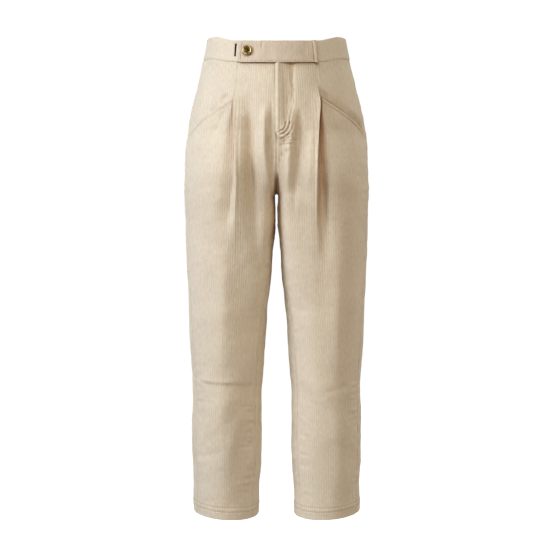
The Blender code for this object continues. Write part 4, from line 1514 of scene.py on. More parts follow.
@dataclass
class HipPiece:
    """The cloth seen above the slanted pocket mouth, sewn in above it and lying behind its edge."""

    front: FrontPanel
    finishes: Sequence[Material]
    flat: Flat = (0.13, 0.15)
    area: float = 0.0125
    thickness: float = 1.3
    width: float = 110.0  # its usual width, which turns shares into distances
    recess: float = 4.2
    recess_run: float = 26.0
    tuck: float = 4.5
    tuck_run: float = 12.0
    underlap: float = 18.0
    groove: float = 2.2
    groove_run: float = 2.6
    groove_fades: float = 30.0
    hollow: float = 2.2  # beside the side seam
    sewn: float = 0.1  # share next to the side seam that lies flush
    edge_run: float = 1.7

    DIMPLES = {
        LEFT: (Dimple(0.12, 11, 8, 1.2), Dimple(0.8, 6, 12, 1.6)),
        RIGHT: (Dimple(0.21, 8, 7, 2.6), Dimple(0.42, 4, 6, 1.9)),
    }
    OPEN = {LEFT: 1.0, RIGHT: 0.05}  # how far each mouth stands open
    WAVES = Unevenness(21, 0.35, 45.0)
    WAVES_APART = 300.0
    ROWS = 46

    @property
    def cloth(self) -> Cloth:
        """The front's cloth, whose form the piece follows."""
        return self.front.cloth

    def shares(self, level: Array, distance: Array) -> Array:
        """How far across the piece a point is, from the grain line to the side seam."""
        return np.clip(distance / self.cloth.measure.side_edge(level), 0, 1)

    def mouth(self, shares: Array) -> Array:
        """Level of the pocket mouth's edge, by share."""
        return self.front.mouth_top + self.front.mouth_fall * shares

    def low(self, shares: Array) -> Array:
        """Level of the piece's lower edge."""
        gap = 1.5 * SEAM_GAP
        lapped = ease((shares - 0.06) / 0.35) * ease((1 - self.sewn - shares) / self.sewn)
        return self.mouth(shares) - gap + (self.underlap + gap) * lapped

    def point(self, level: Array, distance: Array, ribs: bool = False) -> Array:
        """A point on the piece's outer face.

        Args:
            level: The points' levels.
            distance: Their cloth distances.
            ribs: Whether to add the ribs.

        Returns:
            The points in millimetres.
        """
        side, shares = self.cloth.side, self.shares(level, distance)
        below, wide = level - self.mouth(shares), self.OPEN[side]
        recess = self.recess * wide * ease((below + self.recess_run) / self.recess_run)
        recess = recess + self.tuck * ease(below / self.tuck_run)
        recess = recess * ease((1 - shares) / self.sewn)
        groove = bump(below * self.front.mouth_slope, self.groove_run, self.groove_fades)
        recess = recess + self.groove * wide * groove * ease((shares - 0.02) / 0.06)
        recess = recess + self.hollow * wide * bump(shares - 0.9, 0.06, 0.05) * ease((below + 30) / 24)
        for dimple in self.DIMPLES[side]:
            away = np.hypot((shares - dimple.share) * self.width, below + dimple.rise)
            recess = recess + dimple.depth * bell(away, dimple.run)
        edges = np.minimum(distance, (1 - shares) * self.width)
        recess = recess + (0.2 + 0.6 * wide) * bell(edges, self.edge_run)
        waves = self.WAVES.push(distance + self.WAVES_APART * side.value, level) * ease(edges / 10)
        push = waves - recess + RIBS.push(distance) * ribs
        return self.cloth.point(level, distance, push=push, shaped=False)

    def patch(self, distances: Array, rows: int) -> Patch:
        """A grid whose rows run from the waist seam to the lower edge.

        Args:
            distances: Distances of its columns, which stop at the side seam.
            rows: How many rows of faces it has.

        Returns:
            The patch.
        """
        level = np.full((rows + 1, len(distances)), self.front.mouth_top)
        share_down = np.linspace(0, 1, rows + 1)[:, None]
        for _ in range(4):
            end = self.cloth.measure.side_edge(level) - SEAM_GAP / 2
            distance = np.clip(distances[None, :], SEAM_GAP / 2, end)
            level = WAIST_SEAM + (self.low(self.shares(level, distance)) - WAIST_SEAM) * share_down
        return Patch.woven(level, distance, self.cloth.side)

    def build(self) -> Piece:
        """Makes the piece as a closed wall.

        Returns:
            The hip piece's object.
        """
        side, name = self.cloth.side, f"hip_{self.cloth.side.word}"
        distances = RIBS.columns_between(0.0, float(self.cloth.measure.side_edge(np.array(180.0))) + 6)
        outer, inner = self.patch(distances, self.ROWS), self.patch(distances[::4], self.ROWS // 2)
        thing = Wall.hung(name, outer, inner, self.point, side, self.thickness).build(self.finishes)
        return dress(thing, name, self.flat, self.area, replaces=True)


@dataclass
class Band:
    """The waistband's middle surface, with distances measured along it from the centre front."""

    height: float = 41.5
    outside: float = 1.0  # from the middle surface to the outer face
    inside: float = 1.6

    def __post_init__(self) -> None:
        """Lays the waist's arc out at half the band's height."""
        self.angles = np.radians(np.linspace(0, 180, 361))
        x, y, _, _ = FORM.outline(np.full(361, FORM.mid_waistband), self.angles)
        self.arc = np.concatenate([[0], np.cumsum(np.hypot(np.diff(x), np.diff(y)))])

    def angle(self, distance: Array) -> Array:
        """Angle round the waist at a distance. A negative one goes past the centre front."""
        return np.sign(distance) * np.interp(np.abs(distance), self.arc, self.angles)

    def distance(self, x: float) -> float:
        """Distance along the band of a place x from the centre plane."""
        centre, half = FORM.ring(np.array(FORM.mid_waistband))
        angle = math.asin((abs(x) - float(centre)) / float(half))
        return math.copysign(float(np.interp(angle, self.angles, self.arc)), x)

    def point(self, side: Side, level: Array, distance: Array, push: Array | float) -> Array:
        """A point off the band's middle surface.

        Args:
            side: The side whose distances are positive.
            level: The points' levels.
            distance: Their distances along the band.
            push: How far they stand off the middle surface.

        Returns:
            The points in millimetres.
        """
        angle = self.angle(distance)
        x, y, out_x, out_y = FORM.outline(level, np.abs(angle))
        x, out_x = np.where(angle < 0, -x, x), np.where(angle < 0, -out_x, out_x)
        place = [side.value * (x + out_x * push), y + out_y * push, FORM.height(level, angle)]
        return np.stack(place, axis=-1)


BAND = Band()


@dataclass
class Waistband:
    """Half of the waistband, from the centre front round to the centre back."""

    side: Side
    finishes: Sequence[Material]
    flat: Flat = (0.375, 0.0425)
    edge: float = 1.6  # radius of the folded top edge
    edge_drop: float = 0.9
    ditch: float = 0.8
    ditch_run: float = 1.6
    low: float = BAND.height - SEAM_GAP / 2

    WAVES = Unevenness(31, 0.28, 38.0)

    def push(self, level: Array, distance: Array) -> Array:
        """How far the band's outer face stands off its middle surface.

        Args:
            level: The points' levels.
            distance: Their distances along the band.

        Returns:
            The push in millimetres.
        """
        waves = self.WAVES.push(distance * self.side.value, level)
        fold = BAND.outside - self.edge_drop * rounded(level, self.edge)
        ditch = self.ditch * bell(self.low - level, self.ditch_run)
        return fold - ditch + waves * span(level, 0, self.low, 8, 8) * ease(distance / 20)

    def build(self) -> Piece:
        """Makes the band as a closed wall.

        Returns:
            The waistband half's object.
        """
        side, name = self.side, f"waistband_{self.side.word}"
        middle = np.linspace(2.6, self.low - 2.4, 26)
        levels = np.array([0, 0.35, 0.8, 1.5, *middle, self.low - 1.2, self.low])
        distances = np.unique(np.clip(RIBS.columns_between(0, BAND.arc[-1]), 0, BAND.arc[-1]))
        outer = Patch.square(levels, distances, side)
        inner = Patch.square([*levels[::3], self.low], [*distances[::5], distances[-1]], side)
        push = self.push(outer.level, outer.distance) + RIBS.push(outer.distance) * ease(outer.level / 2.5)
        outer_points = BAND.point(side, outer.level, outer.distance, push)
        inside = -BAND.inside + self.edge_drop * rounded(inner.level, self.edge)
        inner_points = BAND.point(side, inner.level, inner.distance, inside)
        thing = Wall(name, outer, outer_points, inner, inner_points).build(self.finishes)
        return dress(thing, name, self.flat, replaces=True)


@dataclass
class Tab:
    """The long tab over the front of the waistband, buttoned on the wearer's right."""

    finishes: Sequence[Material]
    thread: Material
    flat: Flat = (0.155, 0.043)
    top: float = 0.4
    low: float = 42.2
    thickness: float = 2.2
    root_x: float = 71.0
    free_x: float = -68.0
    corner: float = 5.0
    top_corner: float = 2.0
    flare: float = 0.7
    flare_level: float = 27.0
    flare_x: float = 62.0
    flare_run: float = 14.0
    end_lift: float = 0.6
    end_at: float = -60.0
    end_run: float = 14.0
    edge: float = 1.3  # radius of its edges
    edge_drop: float = 1.3
    stitch_in: float = 3.4
    stitch_groove: float = 0.3
    thread_rise: float = 0.3
    crease_x: float = -27.4
    crease_top: float = 1.0
    crease_low: float = 21.0
    crease_depth: float = 1.3
    crease_ridge: float = 0.5
    rib_share: float = 1.4  # its ribs stand this much higher than the legs'
    rib_shift: float = 1.0

    WAVES = Unevenness(33, 0.32, 34.0)

    def reach(self, level: Array) -> Edges:
        """Distances of the tab's free end, with its rounded corners, and of its root."""
        low = self.corner * rounded(self.low - level, self.corner)
        top = self.top_corner * rounded(level - self.top, self.top_corner)
        return BAND.distance(self.free_x) + low + top, np.full(level.shape, BAND.distance(self.root_x))

    def lift(self, level: Array, distance: Array) -> Array:
        """How far the tab's underside stands off the band's middle surface.

        Args:
            level: The points' levels.
            distance: Their distances along the band.

        Returns:
            The push in millimetres.
        """
        free = ease((self.flare_x - distance) / self.flare_run)
        flare = self.flare * free * ease((level - self.flare_level) / self.flare_run)
        end = self.end_lift * ease((self.end_at - distance) / self.end_run)
        return BAND.outside + SEAM_GAP + np.maximum(flare, end)

    def point(self, level: Array, distance: Array, ribs: bool = False) -> Array:
        """A point on the tab's outer face.

        Args:
            level: The points' levels.
            distance: Their distances along the band.
            ribs: Whether to add the ribs.

        Returns:
            The points in millimetres.
        """
        edge = np.minimum(np.minimum(distance - self.reach(level)[0], level - self.top), self.low - level)
        past = distance - BAND.distance(self.crease_x)
        crease = self.crease_depth * bump(past, 1.6, 2.6) - self.crease_ridge * bump(past - 5, 3, 5)
        crease = crease * span(level, self.crease_top, self.crease_low, 4, 9)
        stitched = self.stitch_groove * bell(edge - self.stitch_in, 1.2)
        waves = self.WAVES.push(distance, level) * ease(edge / 6)
        push = self.lift(level, distance) + self.thickness - self.edge_drop * rounded(edge, self.edge)
        ribbed = self.rib_share * RIBS.push(distance + self.rib_shift) * ribs * ease(edge / 2)
        push = push - crease - stitched + waves + ribbed
        return BAND.point(LEFT, level, distance, push)

    def build(self, pieces: Sequence[Piece]) -> Piece:
        """Makes the tab as a closed wall, with its edge stitches.

        Args:
            pieces: What lies on the tab.

        Returns:
            The tab's object.
        """
        levels = np.concatenate([
            self.top + np.array([0, 0.25, 0.6, 1.1, 1.8]),
            np.linspace(3.2, self.low - 6.2, 27),
            self.low - np.array([5, 4.2, 3.4, 2.6, 1.8, 1.1, 0.6, 0.25, 0]),
        ])
        start, end = self.reach(levels)
        fine = np.arange(start.min(), start.min() + 8, 0.5)
        ribbed = RIBS.columns_between(start.min() + 8, end.max()) - self.rib_shift
        distances = np.unique(np.concatenate([fine, ribbed]))
        outer = Patch.woven(*ribbon(levels, distances, self.reach), LEFT)
        inner = Patch.woven(*ribbon(levels[::2], distances[::4], self.reach), LEFT)
        under = BAND.point(LEFT, inner.level, inner.distance, self.lift(inner.level, inner.distance))
        outer_points = self.point(outer.level, outer.distance, ribs=True)
        thing = Wall("waistband_tab", outer, outer_points, inner, under).build(self.finishes)
        return dress(thing, "waistband_tab", self.flat, pieces=[self.stitches(), *pieces], replaces=True)

    def stitches(self) -> Piece:
        """The row of stitches along the tab's lower edge and round its free end.

        Returns:
            The stitches' object.
        """
        inset, corner = self.stitch_in, self.corner
        start, end = (float(edge[0]) for edge in self.reach(np.array([FORM.mid_waistband])))
        turn = np.radians(np.linspace(0, 90, 10))
        level = np.concatenate([
            np.linspace(self.top + inset, self.low - corner, 30)[:-1],
            self.low - corner + (corner - inset) * np.sin(turn),
            np.full(90, self.low - inset),
        ])
        distance = np.concatenate([
            np.full(29, start + inset),
            start + corner - (corner - inset) * np.cos(turn),
            np.linspace(start + corner, end - 2, 91)[1:],
        ])
        thread = Stitches("stitching_tab")
        thread.follow(self.point, level, distance, LEFT, self.thread_rise)
        return thread.build(self.thread, "waistband_tab")


@dataclass
class BeltLoop:
    """The belt loop at the tab's root, over its edge and the waist seam."""

    finishes: Sequence[Material]
    thread: Material
    flat: Flat = (0.0101, 0.0465)
    top: float = -0.6
    low: float = 42.6
    top_x: float = 69.8
    low_x: float = 70.3
    width: float = 6.6
    thickness: float = 1.7
    arch: float = 1.2
    crown: float = 0.8
    edge: float = 0.9  # radius of its edges and ends
    stitch_in: float = 1.7
    sewn_at: float = 3.0  # from its lower end to the stitches that hold it
    thread_rise: float = 0.15

    BORDER = np.array([0, 0.2, 0.5, 0.9])  # close rows of points along an edge

    def centre(self, level: Array) -> Array:
        """Distance of the loop's middle line."""
        top, low = BAND.distance(self.top_x), BAND.distance(self.low_x)
        return top + (low - top) * np.clip(level / self.low, 0, 1)

    def lift(self, level: Array) -> Array:
        """How far the loop's underside stands off the band's middle surface."""
        arch = self.arch * span(level, 2, self.low - self.sewn_at, 8, 8)
        return BAND.outside + Tab.thickness + 2 * SEAM_GAP + arch

    def point(self, level: Array, across: Array) -> Array:
        """A point on the loop's outer face.

        Args:
            level: The points' levels.
            across: Their places across the loop.

        Returns:
            The points in millimetres.
        """
        half = self.width / 2
        inward = half - np.abs(across)
        crown = self.crown * (1 - (across / half) ** 2 - rounded(inward, self.edge))
        rows = 0.3 * bell(inward - self.stitch_in, 0.7)
        ends = 0.7 * rounded(np.minimum(level - self.top, self.low - level), self.edge)
        pulled = 0.5 * bell(self.low - self.sewn_at - level, 1.4)
        push = self.lift(level) + self.thickness - 0.2 + crown - rows - ends - pulled
        return BAND.point(LEFT, level, self.centre(level) + across, push)

    def build(self) -> Piece:
        """Makes the loop as a closed wall, with a row of stitches along each edge.

        Returns:
            The loop's object.
        """
        half, close = self.width / 2, self.BORDER
        middle = np.linspace(1.2, self.low - 1.6, 34)
        levels = np.concatenate([self.top + close, middle, self.low - close[::-1]])
        across = np.concatenate([-half + close, np.linspace(1.3 - half, half - 1.3, 7), half - close[::-1]])
        outer = Patch.square(levels, across, LEFT)
        inner = Patch.square([*levels[::2], levels[-1]], across[::4], LEFT)
        middle_line = self.centre(inner.level)
        under = BAND.point(LEFT, inner.level, middle_line + inner.distance, self.lift(inner.level))
        outer_points = self.point(outer.level, outer.distance)
        thing = Wall("belt_loop", outer, outer_points, inner, under).build(self.finishes)
        thread = Stitches("stitching_belt_loop", length=2.2, gap=0.5, width=0.6, height=0.4)
        for place in (-1, 1):
            row = np.full(60, place * (half - self.stitch_in))
            thread.follow(self.point, np.linspace(1.5, self.low - 4, 60), row, LEFT, self.thread_rise)
        sewn = thread.build(self.thread, "belt_loop")
        return dress(thing, "belt_loop", self.flat, pieces=[sewn], replaces=True)


@dataclass
class BarTack:
    """The dense black bar beside the tab's free end: close stitches laid across it."""

    thread: Material
    x_top: float = 76.9
    x_low: float = 75.9
    top: float = 6.4
    low: float = 30.4
    width: float = 2.6
    pitch: float = 0.5
    rise: float = 0.75
    reach: float = 1.3  # a stitch's length against the bar's width
    slant: float = 0.35
    wobble: float = 0.12
    wider_low: float = 0.12  # how much wider the bar is at its lower end
    wider_ends: float = 0.25  # and close to either end

    def point(self, level: Array, distance: Array) -> Array:
        """A point over the band, where the bar lies."""
        return BAND.point(RIGHT, level, distance, BAND.outside + self.rise)

    def build(self) -> Piece:
        """Makes the bar.

        Returns:
            The bar's object.
        """
        tack = Stitches("bar_tack_thread", length=self.width, gap=0.0, width=0.75, height=0.95)
        start, end = BAND.distance(self.x_top), BAND.distance(self.x_low)
        count = int((self.low - self.top) / self.pitch)
        for k in range(count + 1):
            share = k / count
            level = np.array([self.top + (self.low - self.top) * share])
            middle = start + (end - start) * share
            first, last, centre = (
                self.point(level, np.array([middle + shift]))[0]
                for shift in (-self.width, self.width, self.wobble * math.sin(k * 2.3))
            )
            across = (last - first) / np.linalg.norm(last - first)
            wider = 1 + self.wider_low * share + self.wider_ends * float(bell(min(share, 1 - share), 0.09))
            along = across * self.width * self.reach * wider + np.array([0, 0, self.slant])
            tack.stitch(centre, along, outward(self.point, level, np.array([middle]), RIGHT)[0])
        return tack.build(self.thread, "bar_tack", replaces=True)


def mode(name: str) -> None:
    """Goes into edit mode or back to object mode."""
    bpy.ops.object.mode_set(mode=name)


def nothing_selected() -> None:
    """Deselects everything, so that an operator acts on the new piece alone."""
    if bpy.context.object and bpy.context.object.mode != "OBJECT":
        mode("OBJECT")
    bpy.ops.object.select_all(action="DESELECT")


@dataclass
class Button:
    """The round metal button: a raised rim round a sunk dark centre, with crossed thread."""

    metal: Material
    enamel: Material
    thread: Material
    x: float = -53.2
    level: float = 19.5
    radius: float = 9.5
    back: float = 0.86  # radius of its back, as a share
    floor: float = 1.75  # height of the sunk centre over the seat
    disc: float = 0.53  # radius of the dark disc, as a share
    disc_height: float = 0.5
    eye_out: float = 1.9
    eye_radius: float = 0.8
    eye_thickness: float = 0.3
    eye_height: float = 1.95
    thread_height: float = 2.55
    thread_apart: float = 0.45

    SIDES = 64
    # Each step: radius of the next ring as a share of the button's, and its height over the seat
    PROFILE = (
        (0.97, 0.5), (1.0, 1.4), (0.985, 2.3), (0.94, 3.0), (0.86, 3.4), (0.76, 3.35), (0.66, 3.0),
        (0.58, 2.4), (0.54, 1.95), (0.48, 1.9),
    )
    SHARP = math.radians(35)

    def on_tab(self, level: Array, distance: Array) -> Array:
        """A point on the surface that the button sits on."""
        return BAND.point(LEFT, level, distance, BAND.outside + Tab.thickness + 2.3 * SEAM_GAP)

    def seat(self) -> tuple[Vector, Vector]:
        """The middle of the button's back, and its axis."""
        place = np.array([self.level]), np.array([BAND.distance(self.x)])
        return Vector(self.on_tab(*place)[0] * MM), Vector(outward(self.on_tab, *place, LEFT)[0])

    def ring(self, share: float, height: float) -> None:
        """Brings the selected edge loop to a radius and a height, from edit mode and back to it.

        Args:
            share: The radius as a share of the button's.
            height: The height over the seat.
        """
        mode("OBJECT")
        for vertex in (v for v in bpy.context.object.data.vertices if v.select):
            flat = Vector((vertex.co.x, vertex.co.y, 0)).normalized() * self.radius * share * MM
            vertex.co = (flat.x, flat.y, height * MM)
        mode("EDIT")

    def body(self) -> Piece:
        """The turned metal body, modelled flat at the origin.

        Returns:
            The body.
        """
        nothing_selected()
        radius = self.radius * self.back * MM
        bpy.ops.mesh.primitive_circle_add(vertices=self.SIDES, radius=radius, fill_type="NGON")
        thing = bpy.context.object
        mode("EDIT")
        bpy.ops.mesh.select_all(action="SELECT")
        bpy.ops.mesh.select_mode(type="FACE")
        for share, height in self.PROFILE:
            bpy.ops.mesh.extrude_region_move(TRANSFORM_OT_translate={"value": (0, 0, 0.2 * MM)})
            self.ring(share, height)
        bpy.ops.mesh.inset(thickness=0.3 * MM)
        mode("OBJECT")
        for vertex in (v for v in thing.data.vertices if v.select):
            vertex.co.z = self.floor * MM
        mode("EDIT")
        bpy.ops.mesh.select_all(action="SELECT")
        bpy.ops.mesh.normals_make_consistent(inside=False)
        mode("OBJECT")
        return thing

    def eyelets(self) -> Piece:
        """Four small raised eyes in the sunk centre, joined as one piece.

        Returns:
            The eyes.
        """
        nothing_selected()
        eyes = []
        for turn in range(4):
            angle = math.radians(45 + 90 * turn)
            place = Vector((math.cos(angle) * self.eye_out, math.sin(angle) * self.eye_out, self.eye_height))
            bpy.ops.mesh.primitive_torus_add(
                location=place * MM, major_radius=self.eye_radius * MM, minor_radius=self.eye_thickness * MM,
                major_segments=20, minor_segments=8,
            )
            eyes.append(bpy.context.object)
        for eye in eyes:
            eye.select_set(True)
        bpy.context.view_layer.objects.active = eyes[0]
        bpy.ops.object.join()
        return eyes[0]

    def centre(self) -> Piece:
        """The dark disc in the rim, with softened edges.

        Returns:
            The disc.
        """
        nothing_selected()
        bpy.ops.mesh.primitive_cylinder_add(
            vertices=48, radius=self.radius * self.disc * MM, depth=self.disc_height * MM,
            location=(0, 0, self.floor * MM),
        )
        disc = bpy.context.object
        mode("EDIT")
        bpy.ops.mesh.select_all(action="DESELECT")
        mode("OBJECT")
        for polygon in disc.data.polygons:
            polygon.select = abs(polygon.normal.z) > 0.9
        mode("EDIT")
        bpy.ops.mesh.bevel(offset=0.15 * MM, segments=2, affect="EDGES")
        mode("OBJECT")
        return disc

    def settle(self, thing: Piece, name: str, finish: Material, replaces: bool = False) -> Piece:
        """Seats a piece of the button on the tab, with its place in its mesh.

        Args:
            thing: The piece, modelled flat at the origin.
            name: Its name.
            finish: Its material.
            replaces: Whether it stands in for the solid.

        Returns:
            The piece, named, dressed and seated.
        """
        nothing_selected()
        thing.select_set(True)
        bpy.context.view_layer.objects.active = thing
        bpy.ops.object.transform_apply(location=True, rotation=True, scale=True)
        thing.location, axis = self.seat()
        thing.rotation_mode = "QUATERNION"
        thing.rotation_quaternion = axis.to_track_quat("Z", "Y")
        bpy.ops.object.transform_apply(location=True, rotation=True, scale=True)
        thing.rotation_mode = "XYZ"
        thing.name = thing.data.name = name
        thing.data.materials.clear()
        thing.data.materials.append(finish)
        thing.data.shade_smooth()
        thing.data.set_sharp_from_angle(angle=self.SHARP)
        return dress(thing, "button", replaces=replaces)

    def cross(self) -> Piece:
        """The crossed thread through the eyes.

        Returns:
            The thread.
        """
        seat, axis = self.seat()
        across = Vector((0, 0, 1)).cross(axis).normalized()
        up = axis.cross(across)
        threads = Stitches("button_thread", length=6.0, gap=0.0, width=0.85, height=0.8)
        for angle in (math.radians(45), math.radians(135)):
            along = across * math.cos(angle) + up * math.sin(angle)
            for shift in (-self.thread_apart, self.thread_apart):
                centre = seat / MM + axis.cross(along) * shift + axis * self.thread_height
                threads.stitch(np.array(centre), np.array(along) * threads.length * 0.9, np.array(axis))
        return threads.build(self.thread, "button")

    def build(self) -> list[Piece]:
        """Makes the button's pieces.

        Returns:
            The body, the dark centre, the eyes and the thread.
        """
        body = self.settle(self.body(), "button_body", self.metal, replaces=True)
        centre = self.settle(self.centre(), "button_centre", self.enamel)
        eyes = self.settle(self.eyelets(), "button_eyes", self.metal)
        return [body, centre, eyes, self.cross()]


class Shader:
    """A material's or a group's node tree, with short calls to fill it."""

    def __init__(self, tree: bpy.types.NodeTree) -> None:
        """Takes the tree to fill."""
        self.tree = tree

    def fill(self, node: bpy.types.Node, inputs: dict) -> None:
        """Gives a node's inputs their values, or links them.

        Args:
            node: The node.
            inputs: Values, colours or sockets, by the input's name or number.
        """
        for key, value in inputs.items():
            if isinstance(value, Socket):
                self.tree.links.new(value, node.inputs[key])
            elif node.inputs[key].type == "RGBA" and len(value) == 3:
                node.inputs[key].default_value = (*value, 1)
            else:
                node.inputs[key].default_value = value

    def add(self, kind: str, inputs: dict | None = None, **settings: object) -> bpy.types.Node:
        """Adds a node.

        Args:
            kind: The node's type.
            inputs: Values, colours or sockets for its inputs.
            settings: The node's own properties.

        Returns:
            The node.
        """
        node = self.tree.nodes.new(kind)
        for name, value in settings.items():
            setattr(node, name, value)
        self.fill(node, inputs or {})
        return node

    def math(self, operation: str, *values: object) -> Socket:
        """The result of a Math node."""
        return self.add("ShaderNodeMath", dict(enumerate(values)), operation=operation).outputs[0]

    def mix(self, factor: object, first: object, second: object, blend: str = "MIX") -> Socket:
        """The colour of a Mix node."""
        inputs = {0: factor, 6: first, 7: second}
        return self.add("ShaderNodeMix", inputs, data_type="RGBA", blend_type=blend).outputs[2]


def new_material(name: str) -> tuple[Material, Shader, bpy.types.Node]:
    """Makes a material."""
    material = bpy.data.materials.new(name)
    material.use_nodes = True
    return material, Shader(material.node_tree), material.node_tree.nodes["Principled BSDF"]


class Nap:
    """The node group that every cloth uses: fibres, clumps, slow changes of tone along the cloth, and a
    darker groove between the wales that holds painted shade.
    """

    FIBRES = (2600.0, 900.0)  # features per metre across and along the wale
    CLUMPS = (260.0, 110.0)
    TONES = (16.0, 7.0)
    SOCKETS = (
        ("Cloth", "INPUT", "Vector"), ("Crest", "INPUT", "Color"), ("Groove", "INPUT", "Color"),
        ("Ribs", "INPUT", "Float"), ("Color", "OUTPUT", "Color"), ("Roughness", "OUTPUT", "Float"),
        ("Height", "OUTPUT", "Float"),
    )

    def __init__(self) -> None:
        """Builds the group once."""
        self.group = bpy.data.node_groups.new("nap", "ShaderNodeTree")
        for name, way, kind in self.SOCKETS:
            self.group.interface.new_socket(name, in_out=way, socket_type=f"NodeSocket{kind}")
        shader = Shader(self.group)
        inputs = shader.add("NodeGroupInput").outputs
        split = shader.add("ShaderNodeSeparateXYZ", {0: inputs["Cloth"]}).outputs
        turn = shader.math("MULTIPLY", split[0], 2 * math.pi / (RIBS.pitch * MM))
        crest = shader.math("MULTIPLY_ADD", shader.math("COSINE", turn), 0.5, 0.5)
        flat = shader.math("SUBTRACT", 1.0, inputs["Ribs"])
        ribbed = shader.math("MULTIPLY_ADD", crest, inputs["Ribs"], flat)
        fibres = self.noise(shader, split, self.FIBRES, 2)
        clumps = self.noise(shader, split, self.CLUMPS, 3)
        tones = self.noise(shader, split, self.TONES, 2)
        # The groove colour between the wales: the cloth's own ground, darkened and warmed as painted shade
        # in the grooves
        colour = shader.mix(shader.math("POWER", ribbed, 0.7), inputs["Groove"], inputs["Crest"])
        light = 1.0
        for noise, weight in ((clumps, 0.32), (tones, 0.16), (fibres, 0.16)):
            light = shader.math("MULTIPLY_ADD", shader.math("SUBTRACT", noise, 0.5), weight, light)
        shade = shader.add("ShaderNodeCombineColor", {0: light, 1: light, 2: light}).outputs[0]
        height = shader.math("MULTIPLY_ADD", clumps, 0.8, shader.math("MULTIPLY", fibres, 0.5))
        shader.add("NodeGroupOutput", {
            "Color": shader.mix(1.0, colour, shade, "MULTIPLY"),
            "Roughness": shader.math("MULTIPLY_ADD", clumps, 0.12, 0.82),
            "Height": height,
        })

    @staticmethod
    def noise(shader: Shader, place: Sequence, scales: Flat, detail: int) -> Socket:
        """Noise with its own scale across and along the wale.

        Args:
            shader: The nap's shader.
            place: Sockets of the place across and along.
            scales: The noise's scale across and along.
            detail: The noise's octaves.

        Returns:
            The noise's socket.
        """
        across, along = (shader.math("MULTIPLY", place[axis], scales[axis]) for axis in (0, 1))
        vector = shader.add("ShaderNodeCombineXYZ", {0: across, 1: along}).outputs[0]
        grain = {"Vector": vector, "Scale": 1.0, "Detail": detail}
        return shader.add("ShaderNodeTexNoise", grain).outputs[0]


@dataclass(frozen=True)
class ClothFinish:
    """Corduroy or its wrong side, with painted shade in its folds."""

    name: str
    crest: Colour
    # colour between the wales, darker and warmer than the crest: its own ground with painted shade in the
    # grooves
    groove: Colour
    ribs: float = 1.0
    sheen: float = 0.35
    sheen_roughness: float = 0.45
    sheen_tint: Colour = (1.0, 0.93, 0.82)
    specular: float = 0.2
    bump: float = 0.5
    bump_depth: float = 0.0004
    fold_tint: Colour = (0.62, 0.44, 0.32)  # painted shade: the colour that deep folds are multiplied by
    fold_reach: float = 0.03
    fold_open: float = 0.92  # share of open sky under which the painted shade starts
    fold_rise: float = 1.9

    def build(self, nap: Nap) -> Material:
        """Makes the material.

        Args:
            nap: The node group for cloth.

        Returns:
            The material.
        """
        material, shader, surface = new_material(self.name)
        place = shader.add("ShaderNodeUVMap", uv_map="cloth").outputs[0]
        inputs = {"Crest": self.crest, "Groove": self.groove, "Ribs": self.ribs, "Cloth": place}
        group = shader.add("ShaderNodeGroup", inputs, node_tree=nap.group).outputs
        # Painted shade: ambient occlusion darkens and browns the colour in folds, creases and between the
        # legs
        sky = shader.add("ShaderNodeAmbientOcclusion", {"Distance": self.fold_reach}, samples=6)
        rise = self.fold_rise
        fold_shade_mask = shader.math("MULTIPLY_ADD", sky.outputs["AO"], -rise, rise * self.fold_open)
        fold_shade_mask = shader.math("MINIMUM", shader.math("MAXIMUM", fold_shade_mask, 0.0), 1.0)
        shaded_colour = shader.mix(1.0, group["Color"], self.fold_tint, "MULTIPLY")
        relief = {"Height": group["Height"], "Strength": self.bump, "Distance": self.bump_depth}
        shader.fill(surface, {
            "Base Color": shader.mix(fold_shade_mask, group["Color"], shaded_colour),
            "Roughness": group["Roughness"],
            "Normal": shader.add("ShaderNodeBump", relief).outputs[0],
            "Specular IOR Level": self.specular,
            "Sheen Weight": self.sheen,
            "Sheen Roughness": self.sheen_roughness,
            "Sheen Tint": self.sheen_tint,
        })
        return material


@dataclass(frozen=True)
class PlainFinish:
    """Thread, metal or the button's dark centre, with fine uneven roughness."""

    name: str
    colour: Colour
    roughness: float
    metallic: float = 0.0
    specular: float = 0.5
    spread: float = 0.12
    scale: float = 900.0
    bump: float = 0.2
    bump_depth: float = 0.0001
    dark: float = 0.72  # the darker spots' share of the colour

    def build(self) -> Material:
        """Makes the material.

        Returns:
            The material.
        """
        material, shader, surface = new_material(self.name)
        place = shader.add("ShaderNodeTexCoord").outputs["Object"]
        grain = {"Vector": place, "Scale": self.scale, "Detail": 3.0}
        noise = shader.add("ShaderNodeTexNoise", grain).outputs[0]
        relief = {"Height": noise, "Strength": self.bump, "Distance": self.bump_depth}
        shader.fill(surface, {
            "Base Color": shader.mix(noise, tuple(value * self.dark for value in self.colour), self.colour),
            "Roughness": shader.math("MULTIPLY_ADD", noise, self.spread, self.roughness - self.spread / 2),
            "Normal": shader.add("ShaderNodeBump", relief).outputs[0],
            "Metallic": self.metallic,
            "Specular IOR Level": self.specular,
        })
        return material


CORDUROY = ClothFinish("corduroy", (0.735, 0.68, 0.567), (0.69, 0.627, 0.51))
# The same corduroy painted darker for the tab: painted shade for how the light falls on it
SHADED_TAB_CORDUROY = ClothFinish("corduroy_tab", (0.69, 0.615, 0.515), (0.61, 0.53, 0.435))
WRONG_SIDE = ClothFinish(
    "corduroy_wrong_side", (0.60, 0.50, 0.37), (0.5, 0.4, 0.3), ribs=0.15, sheen=0.1, bump=0.3
)
THREAD = PlainFinish("sewing_thread", (0.75, 0.665, 0.54), 0.7)
BLACK_THREAD = PlainFinish("black_thread", (0.004, 0.004, 0.005), 0.7, specular=0.12)
BRASS = PlainFinish("button_metal", (0.50, 0.35, 0.12), 0.3, metallic=1.0, spread=0.16, bump=0.1)
DARK_CENTRE = PlainFinish("button_enamel", (0.02, 0.02, 0.006), 0.45, specular=0.2)
DARK_THREAD = PlainFinish("button_thread_dark", (0.02, 0.02, 0.012), 0.7, specular=0.15)


